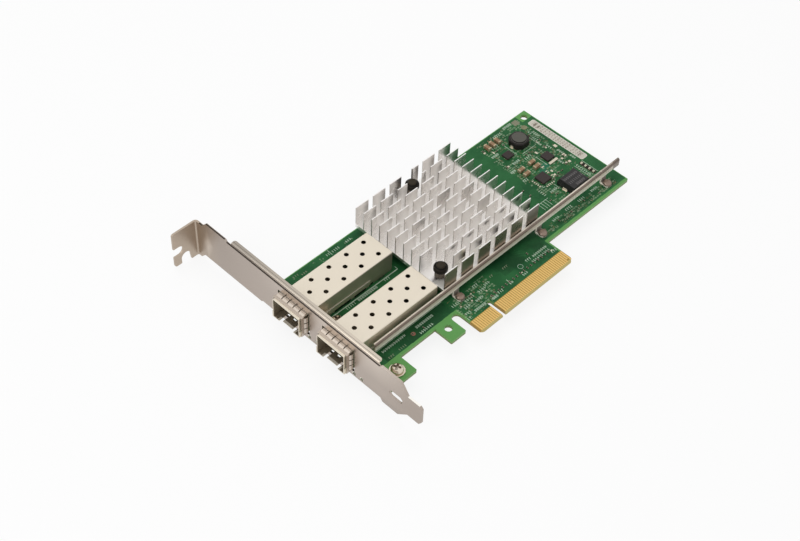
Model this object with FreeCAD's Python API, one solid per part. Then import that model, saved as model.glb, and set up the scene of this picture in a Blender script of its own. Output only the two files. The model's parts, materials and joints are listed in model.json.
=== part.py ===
import FreeCAD, Part
import math
import os

# Dual-port server network card with a full-height bracket, in millimetres.
# Origin: centre of the key notch, on the edge of the contact tongues, at the component face.
# X runs from the bracket to the far end, Y away from the contacts, Z out of the component side.

# ---- driving dimensions -------------------------------------------------------------------------

# circuit board
board_thickness = 1.57
board_top_y = 68.9
board_low_y = 12.9
board_far_x = 88.4
board_corner = 0.4

# edge connector
tongue_left_x = -12.15
tongue_right_x = 39.15
tongue_corner = 1.3
tongue_bevel = 0.45
key_width = 1.9
key_depth = 8.5
contact_pitch = 1.0
contact_width = 0.7
contact_foil = 0.05
contact_low_y = 0.6
contact_high_y = 6.05
contact_first_x = -11.5
contacts_short_tongue = 11
contacts_long_tongue = 38
present_contact_from_end = 1
present_contact_drop = 1.1

# lower outline of the board
foot_low_y = 4.4
foot_right_x = -42.0
hook_left_x = -23.8
hook_width = 7.7
hook_low_y = 4.5
relief_slot_end_y = 13.0
tooling_hole_diameter = 3.2
hook_hole_inset_x = 3.8
hook_hole_rise = 5.3
corner_hole_inset_x = 3.1
corner_hole_inset_y = 2.8
slot_end_round = 0.97

# small round holes and turned parts, drawn with this many sides
small_round_sides = 12

# face bracket
bracket_face_x = -58.25
bracket_sheet = 0.86
bracket_high_z = 14.4
bracket_low_z = -4.1
bracket_bottom_y = -13.4
bracket_length = 120.02
bracket_bend = 0.7
bracket_soft_corner = 0.6
tongue_low_z = -0.8
tongue_width = 10.19
tongue_top_y = -6.6
tongue_tip_chamfer = 1.1
tongue_tip_slope = 1.8
tongue_tip_run = 1.3
taper_high_y = -3.0
foot_edge_z = -4.9
foot_edge_high_y = 5.6
foot_edge_low_y = -2.0
foot_edge_run = 1.0
card_edge_rise = 0.7
card_edge_below_top = 38.0
strip_relief = 0.9
strip_relief_low_y = 7.6
strip_relief_below_top = 18.6
neck_below_top = 6.8
neck_run = 2.4
neck_high_z = 11.8
tab_depth = 11.43
tab_low_z = -6.7
tab_corner = 1.0
tab_widening_below_top = 5.0
tab_widening_run = 2.3
tab_root_round = 1.2
tab_slot_width = 4.42
tab_slot_centre_z = 1.6
tab_slot_depth = 4.5
tab_arch_radius = 2.2
tab_arch_centre_z = -3.4
tab_arch_flare = 0.5
tab_finger_width = 3.3
tab_finger_low_z = -5.8
foot_slot_length = 6.4
foot_slot_width = 3.2
foot_slot_y = -0.9
foot_slot_z = 4.0
lamp_hole_diameter = 1.9
lamp_z = -1.95
lamp_pitch = 3.9
lamp_offset_y = 8.1

# inner frame behind the face bracket
frame_sheet = 0.5
frame_low_y = 5.2
frame_below_top = 20.2
frame_low_z = -0.6
frame_flange_depth = 2.2
frame_flange_z = 14.0
frame_flange_low_y = 8.7
frame_corner = 1.0
frame_web_taper = 3.0
frame_bend = 0.3
lug_reach_x = -43.6
lug_width = 7.6
lug_neck_width = 2.3
lug_neck_end_x = -52.6
lug_corner = 1.5
frame_to_board_gap = 0.05

# ports
port_low_y = 28.1
port_pitch = 23.35
port_width = 14.0
port_height = 9.8
port_front_x = -62.2
port_back_x = -14.6
port_sheet = 0.3
port_bend = 0.5
port_opening_margin = 1.0
opening_corner = 0.6
vent_diameter = 1.9
vent_pitch_x = 8.95
vent_pitch_y = 3.98
vent_first_x = -45.8
vent_columns = 4
vent_rows = 3
tray_wall_height = 3.0
tray_end_x = -26.3
tray_end_gap = 0.4
latch_width = 5.2
latch_slit = 1.2
latch_length = 12.0
latch_setback = 0.8
catch_setback = 3.2
catch_length = 2.6
catch_width = 3.0
pin_width = 0.8
pin_slot_margin = 0.12
pin_length = 2.9
pin_tip_width = 0.3
pin_tip_taper = 0.5
tray_pin_xs = [-50.0, -34.0]
cage_pin_xs = [-20.0]

# spring collars round the port fronts
collar_sheet = 0.2
collar_band = 1.2
collar_setback = 0.9
finger_width = 2.5
finger_pitch = 2.95
finger_bulge = 0.5
finger_reach = 3.1
fingers_top = 5
fingers_side = 3
collar_gap = 8.4

# socket inside each port
socket_front_x = -25.2
socket_length = 9.0
socket_width = 11.2
socket_height = 6.6
socket_slot_width = 9.2
socket_slot_height = 1.5
socket_slot_depth = 6.0
socket_slot_z = 3.4
socket_pins = 10
socket_pin_pitch = 0.8
socket_pin_width = 0.35
socket_pin_sheet = 0.2
socket_tail_reach = 0.9
socket_tail_height = 1.2
socket_corner = 0.8
socket_step_length = 2.2
socket_step_height = 2.0

# heat sink
sink_left_x = -11.6
sink_low_y = 20.3
sink_length = 52.0
sink_width = 47.0
sink_base_z = 3.7
sink_base = 1.6
sink_top_z = 14.3
fin_rows = 12
fin_columns = 6
fin_thickness = 0.4
fin_gap_x = 2.6
pin_pocket_radius = 4.3
near_pin_inset_x = 4.3
near_pin_inset_y = 6.2
far_pin_inset_x = 27.5
far_pin_inset_y = 3.3

# push pins and their springs
push_pin_shank = 3.0
push_pin_hole = 3.3
push_pin_cap = 5.6
push_pin_cap_low_z = 9.0
push_pin_cap_high_z = 11.7
push_pin_tip_z = -3.9
push_pin_barb = 3.9
push_pin_play = 0.2
push_pin_slope = 1.9
push_pin_button = 3.2
push_pin_button_rise = 0.4
spring_wire = 0.5
spring_diameter = 4.4
spring_turns = 4
spring_steps = 10

# controller under the heat sink
controller_side = 25.0
controller_height = 3.2
lid_inset = 2.0
lid_height = 1.6
pad_side = 21.0

# stiffener rail
rail_left_x = -48.6
rail_right_x = 89.2
rail_face_y = 18.9
rail_sheet = 0.6
rail_depth = 1.1
rail_low_z = 3.0
rail_high_z = 6.6
rail_bend = 0.25
rail_feet_xs = [-6.4, 40.4, 79.7]
rail_foot_width = 3.4
rail_foot_reach = 4.0
rail_screw_setback = 2.1

# screws
frame_screw_x = -47.5
frame_screw_ys = [9.0, 39.8]
frame_screw_shank = 2.8
frame_screw_head = 4.9
frame_screw_head_height = 1.9
frame_screw_length = 4.4
washer_diameter = 6.3
washer_height = 0.6
rail_screw_shank = 1.8
rail_screw_head = 3.3
rail_screw_head_height = 1.3
rail_screw_length = 4.0
screw_clearance = 0.4

# power parts at the far end
inductor_centre = (71.9, 57.3)
inductor_side = 7.8
inductor_clip = 1.9
inductor_body_height = 2.8
inductor_top_diameter = 6.2
inductor_height = 3.4
terminal_sheet = 0.25
terminal_width = 1.6
terminal_toe = 0.75
terminal_height = 1.0
module_centre = (70.2, 26.4)
module_length = 10.0
module_width = 9.0
module_height = 3.2
module_draft = 0.6
module_foot_height = 1.25
module_terminal_width = 2.4
chip_height = 0.9
chips = [(63.15, 55.2, 4.0, 3.5), (74.25, 43.65, 4.2, 4.2), (63.6, 36.7, 5.0, 5.0)]
shunt_centre = (74.0, 40.25)
shunt_length = 5.0
shunt_width = 1.2
shunt_height = 0.6

# ceramic capacitors, long side along Y or along X
capacitor_length = 3.2
capacitor_width = 1.6
capacitor_height = 1.5
capacitors_along_y = [(60.0, 63.7), (62.9, 63.6), (65.9, 63.6)]
capacitors_along_x = [(66.7, 45.6), (66.5, 42.7), (60.4, 45.6), (60.4, 42.6)]

# small chip resistors and capacitors
small_length = 1.0
small_width = 0.5
small_height = 0.4
coupling_y = 9.2
coupling_first_x = 3.0
coupling_pitch = 2.0
coupling_count = 17
small_along_x = [(61.0, 27.2), (73.8, 15.9), (79.8, 39.7), (76.7, 35.8), (72.7, 34.5), (70.5, 34.7),
                 (69.0, 33.8), (66.4, 33.6), (61.6, 60.1), (66.4, 60.6), (52.3, 37.5), (52.5, 33.8),
                 (-31.5, 17.0), (56.5, 26.5)]
small_along_y = [(57.4, 63.7), (78.5, 57.1), (79.6, 52.4), (78.2, 48.6), (68.9, 50.3), (70.6, 50.3),
                 (57.7, 50.7), (76.8, 31.9), (66.1, 17.4), (57.9, 16.8), (50.6, 16.9), (28.3, 14.1),
                 (-3.2, 14.6), (-26.4, 16.2)]

# lamps
status_lamp_x = 81.6
status_lamp_first_y = 25.3
status_lamp_pitch = 2.1
status_lamp_count = 4
status_lamp_length = 1.1
status_lamp_lens_length = 0.8
status_lamp_width = 0.9
status_lamp_height = 0.6
port_lamp_length = 1.6
port_lamp_width = 1.4
port_lamp_height = 0.8
port_lamp_setback = 0.3
port_lamp_lens = 0.5
port_lamp_inset = 0.12

# label on the board
label_left_x = 83.3
label_right_x = 87.1
label_low_y = 32.8
label_high_y = 62.6
label_corner = 0.9
label_thickness = 0.1

V = FreeCAD.Vector
x_axis = V(1, 0, 0)
y_axis = V(0, 1, 0)
z_axis = V(0, 0, 1)


# ---- helpers ------------------------------------------------------------------------------------

def block(x0, x1, y0, y1, z0, z1):
    return Part.makeBox(x1 - x0, y1 - y0, z1 - z0, V(x0, y0, z0))


def rod(x, y, z0, z1, diameter):
    return Part.makeCylinder(diameter / 2.0, z1 - z0, V(x, y, z0), z_axis)


def ring(radius, z):
    """Closed outline of a small round part at one height."""
    turn = 2 * math.pi / small_round_sides
    corners = [V(radius * math.cos(i * turn), radius * math.sin(i * turn), z)
               for i in range(small_round_sides)]
    return Part.makePolygon(corners + corners[:1])


def turned(profile, x, y, z=0.0):
    """Small turned part from (radius, height) steps, bottom to top."""
    steps = [Part.makeLoft([ring(*low), ring(*high)], True, True)
             for low, high in zip(profile, profile[1:]) if high[1] > low[1]]
    part = fuse(steps)
    part.translate(V(x, y, z))
    return part


def small_rod(x, y, z0, z1, diameter):
    return turned([(diameter / 2.0, z0), (diameter / 2.0, z1)], x, y)


def face_from(points):
    closed = points + [points[0]]
    return Part.Face(Part.makePolygon(closed))


def plate_xy(points, z0, z1):
    return face_from([V(x, y, z0) for x, y in points]).extrude(V(0, 0, z1 - z0))


def plate_yz(points, x0, x1):
    return face_from([V(x0, y, z) for y, z in points]).extrude(V(x1 - x0, 0, 0))


def plate_xz(points, y0, y1):
    return face_from([V(x, y0, z) for x, z in points]).extrude(V(0, y1 - y0, 0))


def fuse(shapes):
    whole = shapes[0]
    if len(shapes) > 1:
        whole = whole.multiFuse(shapes[1:])
    return whole.removeSplitter()


def cut(shape, tools):
    for tool in tools:
        shape = shape.cut(tool)
    return shape


def flat_position(point, axis):
    if axis == x_axis:
        return (point.y, point.z)
    if axis == y_axis:
        return (point.x, point.z)
    return (point.x, point.y)


def rounded(shape, axis, corners, radius):
    """Fillet the straight edges along an axis that pass through the given corners."""
    chosen = []
    for edge in shape.Edges:
        if len(edge.Vertexes) != 2 or edge.Curve.TypeId != "Part::GeomLine":
            continue
        if abs(edge.Curve.Direction.dot(axis)) < 0.999:
            continue
        here = flat_position(edge.Vertexes[0].Point, axis)
        if any(math.dist(here, corner) < 0.01 for corner in corners):
            chosen.append(edge)
    return shape.makeFillet(radius, chosen)


def bend(centre, along, length, inner_radius, sheet, start_deg):
    """A quarter turn of sheet about an axis, swept a length along it."""
    ring = Part.makeCylinder(inner_radius + sheet, length, centre, along)
    ring = ring.cut(Part.makeCylinder(inner_radius, length, centre, along))
    size = inner_radius + sheet + 1.0
    if along == z_axis:
        corner = Part.makeBox(size, size, length)
    elif along == y_axis:
        corner = Part.makeBox(size, length, size)
    else:
        corner = Part.makeBox(length, size, size)
    corner.rotate(V(0, 0, 0), along, start_deg)
    corner.translate(centre)
    return ring.common(corner)


def obround_along_y(y, z, length, width, x0, x1):
    run = (length - width) / 2.0
    middle = block(x0, x1, y - run, y + run, z - width / 2.0, z + width / 2.0)
    ends = [Part.makeCylinder(width / 2.0, x1 - x0, V(x0, y + side * run, z), x_axis) for side in (-1, 1)]
    return fuse([middle] + ends)


def save(name, solids):
    shape = solids[0] if len(solids) == 1 else Part.makeCompound(solids)
    for solid in shape.Solids:
        if not solid.isValid():
            print("invalid solid in", name)
    if len(shape.Solids) == 0:
        print("no solid in", name)
    shape.exportStep("parts/" + name + ".step")
    print(name, len(shape.Solids), round(shape.Volume, 2))


# ---- values worked out from the driving dimensions ----------------------------------------------

board_back_z = -board_thickness
bracket_top_y = bracket_bottom_y + bracket_length
frame_high_y = bracket_top_y - frame_below_top
bracket_inner_x = bracket_face_x + bracket_sheet
frame_inner_x = bracket_inner_x + frame_sheet
board_left_x = frame_inner_x + frame_bend + frame_to_board_gap
hook_right_x = hook_left_x + hook_width
key_half = key_width / 2.0
port_centres = [port_low_y, port_low_y + port_pitch]
port_half = port_width / 2.0
tray_half = port_half + port_sheet
opening_half = tray_half + port_opening_margin
opening_low_z = -port_opening_margin
opening_high_z = port_height + port_opening_margin
rail_screw_y = rail_face_y - rail_screw_setback
rail_foot_high_z = rail_sheet
fin_column_length = (sink_length - (fin_columns - 1) * fin_gap_x) / fin_columns
sink_right_x = sink_left_x + sink_length
sink_high_y = sink_low_y + sink_width
sink_floor_z = sink_base_z + sink_base
sink_centre = (sink_left_x + sink_length / 2.0, sink_low_y + sink_width / 2.0)
push_pins_xy = [(sink_left_x + near_pin_inset_x, sink_low_y + near_pin_inset_y),
                (sink_left_x + far_pin_inset_x, sink_high_y - far_pin_inset_y)]
lamp_ys = [centre - lamp_offset_y - step * lamp_pitch for centre in port_centres for step in (0, 1)]


# ---- circuit board ------------------------------------------------------------------------------

def board_pin_slots():
    slots = []
    for centre in port_centres:
        for side in (-1, 1):
            wall_y = centre + side * (port_half - port_sheet / 2.0)
            tray_y = centre + side * (port_half + port_sheet / 2.0)
            slots += [(x, wall_y) for x in cage_pin_xs]
            slots += [(x, tray_y) for x in tray_pin_xs]
    return slots


def circuit_board():
    outline = [
        (board_left_x, foot_low_y), (foot_right_x, foot_low_y), (foot_right_x, board_low_y),
        (hook_left_x, board_low_y), (hook_left_x, hook_low_y), (hook_right_x, hook_low_y),
        (hook_right_x, relief_slot_end_y), (tongue_left_x, relief_slot_end_y),
        (tongue_left_x, 0), (-key_half, 0), (-key_half, key_depth), (key_half, key_depth), (key_half, 0),
        (tongue_right_x, 0), (tongue_right_x, board_low_y), (board_far_x, board_low_y),
        (board_far_x, board_top_y), (board_left_x, board_top_y),
    ]
    board = plate_xy(outline, board_back_z, 0)
    slot_round = (tongue_left_x - hook_right_x) / 2.0 * slot_end_round
    board = rounded(board, z_axis, [(hook_right_x, relief_slot_end_y), (tongue_left_x, relief_slot_end_y)],
                    slot_round)
    board = rounded(board, z_axis, [(-key_half, key_depth), (key_half, key_depth)],
                    key_half * slot_end_round)
    outer = [(foot_right_x, foot_low_y), (hook_left_x, hook_low_y), (hook_right_x, hook_low_y),
             (board_far_x, board_low_y), (board_far_x, board_top_y)]
    board = rounded(board, z_axis, outer, board_corner)
    chamfered = []
    for edge in board.Edges:
        low, high = edge.Vertexes[0].Point, edge.Vertexes[-1].Point
        on_edge = abs(low.y) < 0.001 and abs(high.y) < 0.001
        if on_edge and abs(low.z - high.z) > 1.0 and abs(abs(low.x) - key_half) > 0.1:
            chamfered.append(edge)
    board = board.makeChamfer(tongue_corner, chamfered)
    bevelled = []
    for edge in board.Edges:
        low, high = edge.Vertexes[0].Point, edge.Vertexes[-1].Point
        if abs(low.y) < 0.001 and abs(high.y) < 0.001 and abs(low.x - high.x) > 2.0:
            bevelled.append(edge)
    board = board.makeChamfer(tongue_bevel, bevelled)
    holes = [(hook_left_x + hook_hole_inset_x, hook_low_y + hook_hole_rise, tooling_hole_diameter),
             (board_far_x - corner_hole_inset_x, board_top_y - corner_hole_inset_y, tooling_hole_diameter)]
    holes += [(frame_screw_x, y, frame_screw_shank + screw_clearance) for y in frame_screw_ys]
    holes += [(x, rail_screw_y, rail_screw_shank + screw_clearance) for x in rail_feet_xs]
    holes += [(x, y, push_pin_hole) for x, y in push_pins_xy]
    tools = [small_rod(x, y, board_back_z - 1, 1, diameter) for x, y, diameter in holes]
    half_x, half_y = pin_width / 2.0 + pin_slot_margin, port_sheet / 2.0 + pin_slot_margin
    tools += [block(x - half_x, x + half_x, y - half_y, y + half_y, board_back_z - 1, 1)
              for x, y in board_pin_slots()]
    return cut(board, [Part.makeCompound(tools)])


def contact_centres():
    short = [contact_first_x + i * contact_pitch for i in range(contacts_short_tongue)]
    long_start = -short[-1]
    return short + [long_start + i * contact_pitch for i in range(contacts_long_tongue)]


def contact_row(z0, z1, short_index):
    row = []
    for i, x in enumerate(contact_centres()):
        low = contact_low_y + (present_contact_drop if i == short_index else 0.0)
        row.append(block(x - contact_width / 2.0, x + contact_width / 2.0, low, contact_high_y, z0, z1))
    return row


# ---- face bracket -------------------------------------------------------------------------------

def port_opening(centre_y, x0, x1, margin):
    y0, y1 = centre_y - opening_half - margin, centre_y + opening_half + margin
    return block(x0, x1, y0, y1, opening_low_z - margin, opening_high_z + margin)


def rounded_port_opening(centre_y, x0, x1):
    corners = [(centre_y + side * opening_half, z)
               for side in (-1, 1) for z in (opening_low_z, opening_high_z)]
    return rounded(port_opening(centre_y, x0, x1, 0), x_axis, corners, opening_corner)


def lamp_hole(y):
    hole = small_rod(0, 0, -1, bracket_sheet + 1, lamp_hole_diameter)
    hole.rotate(V(0, 0, 0), y_axis, 90)
    hole.translate(V(bracket_face_x, y, lamp_z))
    return hole


def face_bracket():
    top_y = bracket_top_y
    bend_y = top_y - bracket_sheet - bracket_bend
    neck_y = top_y - neck_below_top
    relief_y = top_y - strip_relief_below_top
    widening_y = top_y - tab_widening_below_top
    card_edge_y = top_y - card_edge_below_top
    tongue_high_z = tongue_low_z + tongue_width
    card_edge_z = bracket_low_z + card_edge_rise
    strip_z = bracket_high_z - strip_relief
    outline = [
        (bend_y, neck_high_z), (neck_y + neck_run, neck_high_z), (neck_y, bracket_high_z),
        (relief_y + strip_relief, bracket_high_z), (relief_y, strip_z),
        (strip_relief_low_y, strip_z), (strip_relief_low_y - strip_relief, bracket_high_z),
        (taper_high_y, bracket_high_z), (tongue_top_y, tongue_high_z),
        (bracket_bottom_y + tongue_tip_chamfer, tongue_high_z),
        (bracket_bottom_y, tongue_high_z - tongue_tip_chamfer),
        (bracket_bottom_y, tongue_low_z + tongue_tip_slope),
        (bracket_bottom_y + tongue_tip_run, tongue_low_z), (tongue_top_y, tongue_low_z),
        (foot_edge_low_y, foot_edge_z), (foot_edge_high_y, foot_edge_z),
        (foot_edge_high_y + foot_edge_run, card_edge_z), (card_edge_y, card_edge_z),
        (card_edge_y + card_edge_rise, bracket_low_z), (widening_y, bracket_low_z),
        (widening_y + tab_widening_run, tab_low_z), (bend_y, tab_low_z),
    ]
    plate = plate_yz(outline, bracket_face_x, bracket_inner_x)
    soft_corners = [outline[i] for i in (2, 8, 9, 10, 11, 12, 13, 14, 15)]
    plate = rounded(plate, x_axis, soft_corners, bracket_soft_corner)
    plate = rounded(plate, x_axis, [(widening_y, bracket_low_z)], tab_root_round)
    openings = [rounded_port_opening(y, bracket_face_x - 1, bracket_inner_x + 1) for y in port_centres]
    lamps = [lamp_hole(y) for y in lamp_ys]
    slot = obround_along_y(foot_slot_y, foot_slot_z, foot_slot_length, foot_slot_width,
                           bracket_face_x - 1, bracket_inner_x + 1)
    plate = cut(plate, openings + lamps + [slot])
    bend_x = bracket_face_x - bracket_bend
    turn = bend(V(bend_x, bend_y, tab_low_z), z_axis, neck_high_z - tab_low_z, bracket_bend, bracket_sheet, 0)
    return fuse([plate, turn, mounting_tab(bend_x, top_y)])


def mounting_tab(start_x, top_y):
    end_x = bracket_face_x - tab_depth
    slot_low_z = tab_slot_centre_z - tab_slot_width / 2.0
    finger_inner_x = end_x + tab_finger_width
    arch_x = finger_inner_x + tab_arch_radius
    outline = [
        (start_x, neck_high_z), (end_x, neck_high_z), (end_x, tab_finger_low_z),
        (finger_inner_x, tab_finger_low_z), (finger_inner_x, tab_low_z),
        (arch_x + tab_arch_radius + tab_arch_flare, tab_low_z), (start_x, tab_low_z),
    ]
    low_y = top_y - bracket_sheet
    tab = plate_xz(outline, low_y, top_y)
    tab = rounded(tab, y_axis, [(end_x, neck_high_z), (end_x, tab_finger_low_z)], tab_corner)
    slot_round_x = end_x + tab_slot_depth - tab_slot_width / 2.0
    slot = block(end_x - 1, slot_round_x, low_y - 1, top_y + 1, slot_low_z, slot_low_z + tab_slot_width)
    slot_end = Part.makeCylinder(tab_slot_width / 2.0, bracket_sheet + 2,
                                 V(slot_round_x, low_y - 1, tab_slot_centre_z), y_axis)
    arch_top = Part.makeCylinder(tab_arch_radius, bracket_sheet + 2,
                                 V(arch_x, low_y - 1, tab_arch_centre_z), y_axis)
    arch_end_x = arch_x + tab_arch_radius
    arch_mouth = plate_xz([(finger_inner_x, tab_arch_centre_z), (arch_end_x, tab_arch_centre_z),
                           (arch_end_x + tab_arch_flare, tab_low_z - 1), (finger_inner_x, tab_low_z - 1)],
                          low_y - 1, top_y + 1)
    return cut(tab, [slot, slot_end, arch_top, arch_mouth])


# ---- inner frame with the board lugs ------------------------------------------------------------

def inner_frame():
    flange_bend_z = frame_flange_z - frame_sheet - frame_bend
    web_outline = [(frame_low_y, frame_low_z), (frame_high_y, frame_low_z), (frame_high_y, flange_bend_z),
                   (frame_flange_low_y, flange_bend_z), (frame_low_y, flange_bend_z - frame_web_taper)]
    web = plate_yz(web_outline, bracket_inner_x, frame_inner_x)
    web = cut(web, [port_opening(y, bracket_inner_x - 1, frame_inner_x + 1, 0.1) for y in port_centres])
    bend_x = frame_inner_x + frame_bend
    flange_length = frame_high_y - frame_flange_low_y
    flange_turn = bend(V(bend_x, frame_flange_low_y, flange_bend_z), y_axis, flange_length,
                       frame_bend, frame_sheet, 270)
    flange_end_x = bracket_inner_x + frame_flange_depth
    flange = block(bend_x, flange_end_x, frame_flange_low_y, frame_high_y,
                   frame_flange_z - frame_sheet, frame_flange_z)
    flange = rounded(flange, z_axis, [(flange_end_x, frame_flange_low_y), (flange_end_x, frame_high_y)],
                     frame_corner)
    return fuse([web, flange_turn, flange] + lug(frame_screw_ys[0], True) + lug(frame_screw_ys[1], False))


def lug(screw_y, full_width):
    """A lug under the board, bent from the lower edge of the frame's web."""
    top_z = board_back_z
    low_z = top_z - frame_sheet
    low_y, high_y = screw_y - lug_width / 2.0, screw_y + lug_width / 2.0
    neck_high_y = high_y if full_width else low_y + lug_neck_width
    bend_x = frame_inner_x + frame_bend
    bend_z = top_z + frame_bend
    turn = bend(V(bend_x, low_y, bend_z), y_axis, neck_high_y - low_y, frame_bend, frame_sheet, 180)
    riser = block(bracket_inner_x, frame_inner_x, low_y, neck_high_y, bend_z, frame_low_z)
    outline = [(bend_x, low_y), (lug_reach_x, low_y), (lug_reach_x, high_y), (lug_neck_end_x, high_y),
               (lug_neck_end_x, neck_high_y), (bend_x, neck_high_y)]
    if full_width:
        outline = [(bend_x, low_y), (lug_reach_x, low_y), (lug_reach_x, high_y), (bend_x, high_y)]
    plate = plate_xy(outline, low_z, top_z)
    plate = rounded(plate, z_axis, [(lug_reach_x, low_y), (lug_reach_x, high_y)], lug_corner)
    hole = small_rod(frame_screw_x, screw_y, low_z - 1, top_z + 1, frame_screw_shank + screw_clearance / 2.0)
    return [turn, riser, plate.cut(hole)]


# ---- ports --------------------------------------------------------------------------------------

def port_cage(centre):
    """Top, side walls and back folded from one sheet, open at the front and below."""
    y0, y1 = centre - port_half, centre + port_half
    shell = block(port_front_x, port_back_x, y0, y1, port_sheet, port_height)
    shell = rounded(shell, x_axis, [(y0, port_height), (y1, port_height)], port_bend)
    inner_y0, inner_y1 = y0 + port_sheet, y1 - port_sheet
    inner_high = port_height - port_sheet
    inside = block(port_front_x - 1, port_back_x - port_sheet, inner_y0, inner_y1, port_sheet - 1, inner_high)
    inside = rounded(inside, x_axis, [(inner_y0, inner_high), (inner_y1, inner_high)], port_bend - port_sheet)
    shell = shell.cut(inside)
    vents = []
    for row in range(vent_rows):
        shift = vent_pitch_x / 2.0 if row % 2 == 1 else 0.0
        y = centre + (1 - row) * vent_pitch_y
        for column in range(vent_columns):
            x = vent_first_x - shift + column * vent_pitch_x
            vents.append(small_rod(x, y, port_height - 1, port_height + 1, vent_diameter))
    shell = shell.cut(Part.makeCompound(vents))
    legs = []
    for side in (-1, 1):
        wall_y = centre + side * (port_half - port_sheet / 2.0)
        for x in cage_pin_xs:
            legs.append(pin_leg(x, wall_y, port_sheet))
        foot_y0, foot_y1 = wall_y - port_sheet / 2.0, wall_y + port_sheet / 2.0
        legs.append(block(tray_end_x + tray_end_gap, port_back_x, foot_y0, foot_y1, 0, port_sheet))
    return fuse([shell] + legs)


def pin_leg(x, y, top_z):
    half = port_sheet / 2.0
    tip_z = board_back_z - pin_length + board_thickness
    shoulder_z = tip_z + pin_tip_taper
    x0, x1 = x - pin_width / 2.0, x + pin_width / 2.0
    outline = [(x0, top_z), (x0, shoulder_z), (x - pin_tip_width / 2.0, tip_z),
               (x + pin_tip_width / 2.0, tip_z), (x1, shoulder_z), (x1, top_z)]
    return plate_xz(outline, y - half, y + half)


def port_tray(centre):
    """Floor of the port, folded up outside the cage walls, with the module latch tongue."""
    y0, y1 = centre - tray_half, centre + tray_half
    tray = block(port_front_x, tray_end_x, y0, y1, 0, tray_wall_height)
    tray = rounded(tray, x_axis, [(y0, 0), (y1, 0)], port_bend * 0.5)
    hollow = block(port_front_x - 1, tray_end_x + 1, centre - port_half, centre + port_half,
                   port_sheet, tray_wall_height + 1)
    tray = tray.cut(hollow)
    half = latch_width / 2.0
    slits = [block(port_front_x - 1, port_front_x + latch_length, centre + side * (half + latch_slit / 2.0)
                   - latch_slit / 2.0, centre + side * (half + latch_slit / 2.0) + latch_slit / 2.0, -1, 1)
             for side in (-1, 1)]
    setback = block(port_front_x - 1, port_front_x + latch_setback, centre - half, centre + half, -1, 1)
    catch_x = port_front_x + catch_setback
    catch_end_x = catch_x + catch_length
    catch = plate_xy([(catch_x, centre), (catch_end_x, centre - catch_width / 2.0),
                      (catch_end_x, centre + catch_width / 2.0)], -1, 1)
    tray = cut(tray, slits + [setback, catch])
    legs = [pin_leg(x, centre + side * (port_half + port_sheet / 2.0), port_sheet)
            for side in (-1, 1) for x in tray_pin_xs]
    return fuse([tray] + legs)


def spring_finger(width):
    """One finger lying along +X from the band, bulging to +Z, centred on Y."""
    rise = finger_bulge
    crest = finger_reach * 0.5
    shoulder = crest * 0.5
    outline = [(0, 0), (shoulder, rise * 0.8), (crest, rise), (finger_reach, 0), (finger_reach, collar_sheet),
               (crest, rise + collar_sheet), (shoulder, rise * 0.8 + collar_sheet), (0, collar_sheet)]
    return plate_xz(outline, -width / 2.0, width / 2.0)


def spring_collar(centre):
    front = port_front_x + collar_setback
    back = front + collar_band
    y0, y1 = centre - tray_half, centre + tray_half
    outer = block(front, back, y0 - collar_sheet, y1 + collar_sheet,
                  -collar_sheet, port_height + collar_sheet)
    outer = outer.cut(block(front - 1, back + 1, y0, y1, 0, port_height))
    gap = block(front - 1, back + 1, centre - collar_gap / 2.0, centre + collar_gap / 2.0, -1, 1)
    pieces = [outer.cut(gap)]

    def place(turn_deg, y, z):
        finger = spring_finger(finger_width)
        finger.rotate(V(0, 0, 0), x_axis, turn_deg)
        finger.translate(V(back, y, z))
        pieces.append(finger)

    for i in range(fingers_top):
        offset = (i - (fingers_top - 1) / 2.0) * finger_pitch
        place(0, centre + offset, port_height)
        if abs(offset) > collar_gap / 2.0:
            place(180, centre + offset, 0)
    for i in range(fingers_side):
        z = port_height / 2.0 + (i - (fingers_side - 1) / 2.0) * finger_pitch
        place(90, y0, z)
        place(270, y1, z)
    return fuse(pieces)


def port_socket(centre):
    back = socket_front_x + socket_length
    half = socket_width / 2.0
    body = block(socket_front_x, back, centre - half, centre + half, 0, socket_height)
    body = rounded(body, y_axis, [(socket_front_x, socket_height)], socket_corner)
    slot = block(socket_front_x - 1, socket_front_x + socket_slot_depth, centre - socket_slot_width / 2.0,
                 centre + socket_slot_width / 2.0, socket_slot_z - socket_slot_height / 2.0,
                 socket_slot_z + socket_slot_height / 2.0)
    step = block(back - socket_step_length, back + 1, centre - half - 1, centre + half + 1,
                 socket_height - socket_step_height, socket_height + 1)
    return cut(body, [slot, step])


def socket_contacts(centre):
    """Solder tails of the socket: one row in front, one row behind."""
    back = socket_front_x + socket_length
    tails = []
    for i in range(socket_pins):
        y = centre + (i - (socket_pins - 1) / 2.0) * socket_pin_pitch
        y0, y1 = y - socket_pin_width / 2.0, y + socket_pin_width / 2.0
        for x, out in ((socket_front_x, -1), (back, 1)):
            reach = x + out * socket_tail_reach
            face = x + out * socket_pin_sheet
            foot = [(x, 0), (reach, 0), (reach, socket_pin_sheet), (face, socket_pin_sheet),
                    (face, socket_tail_height), (x, socket_tail_height)]
            tails.append(plate_xz(foot, y0, y1))
    return tails


# ---- heat sink and what holds it ----------------------------------------------------------------

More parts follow.
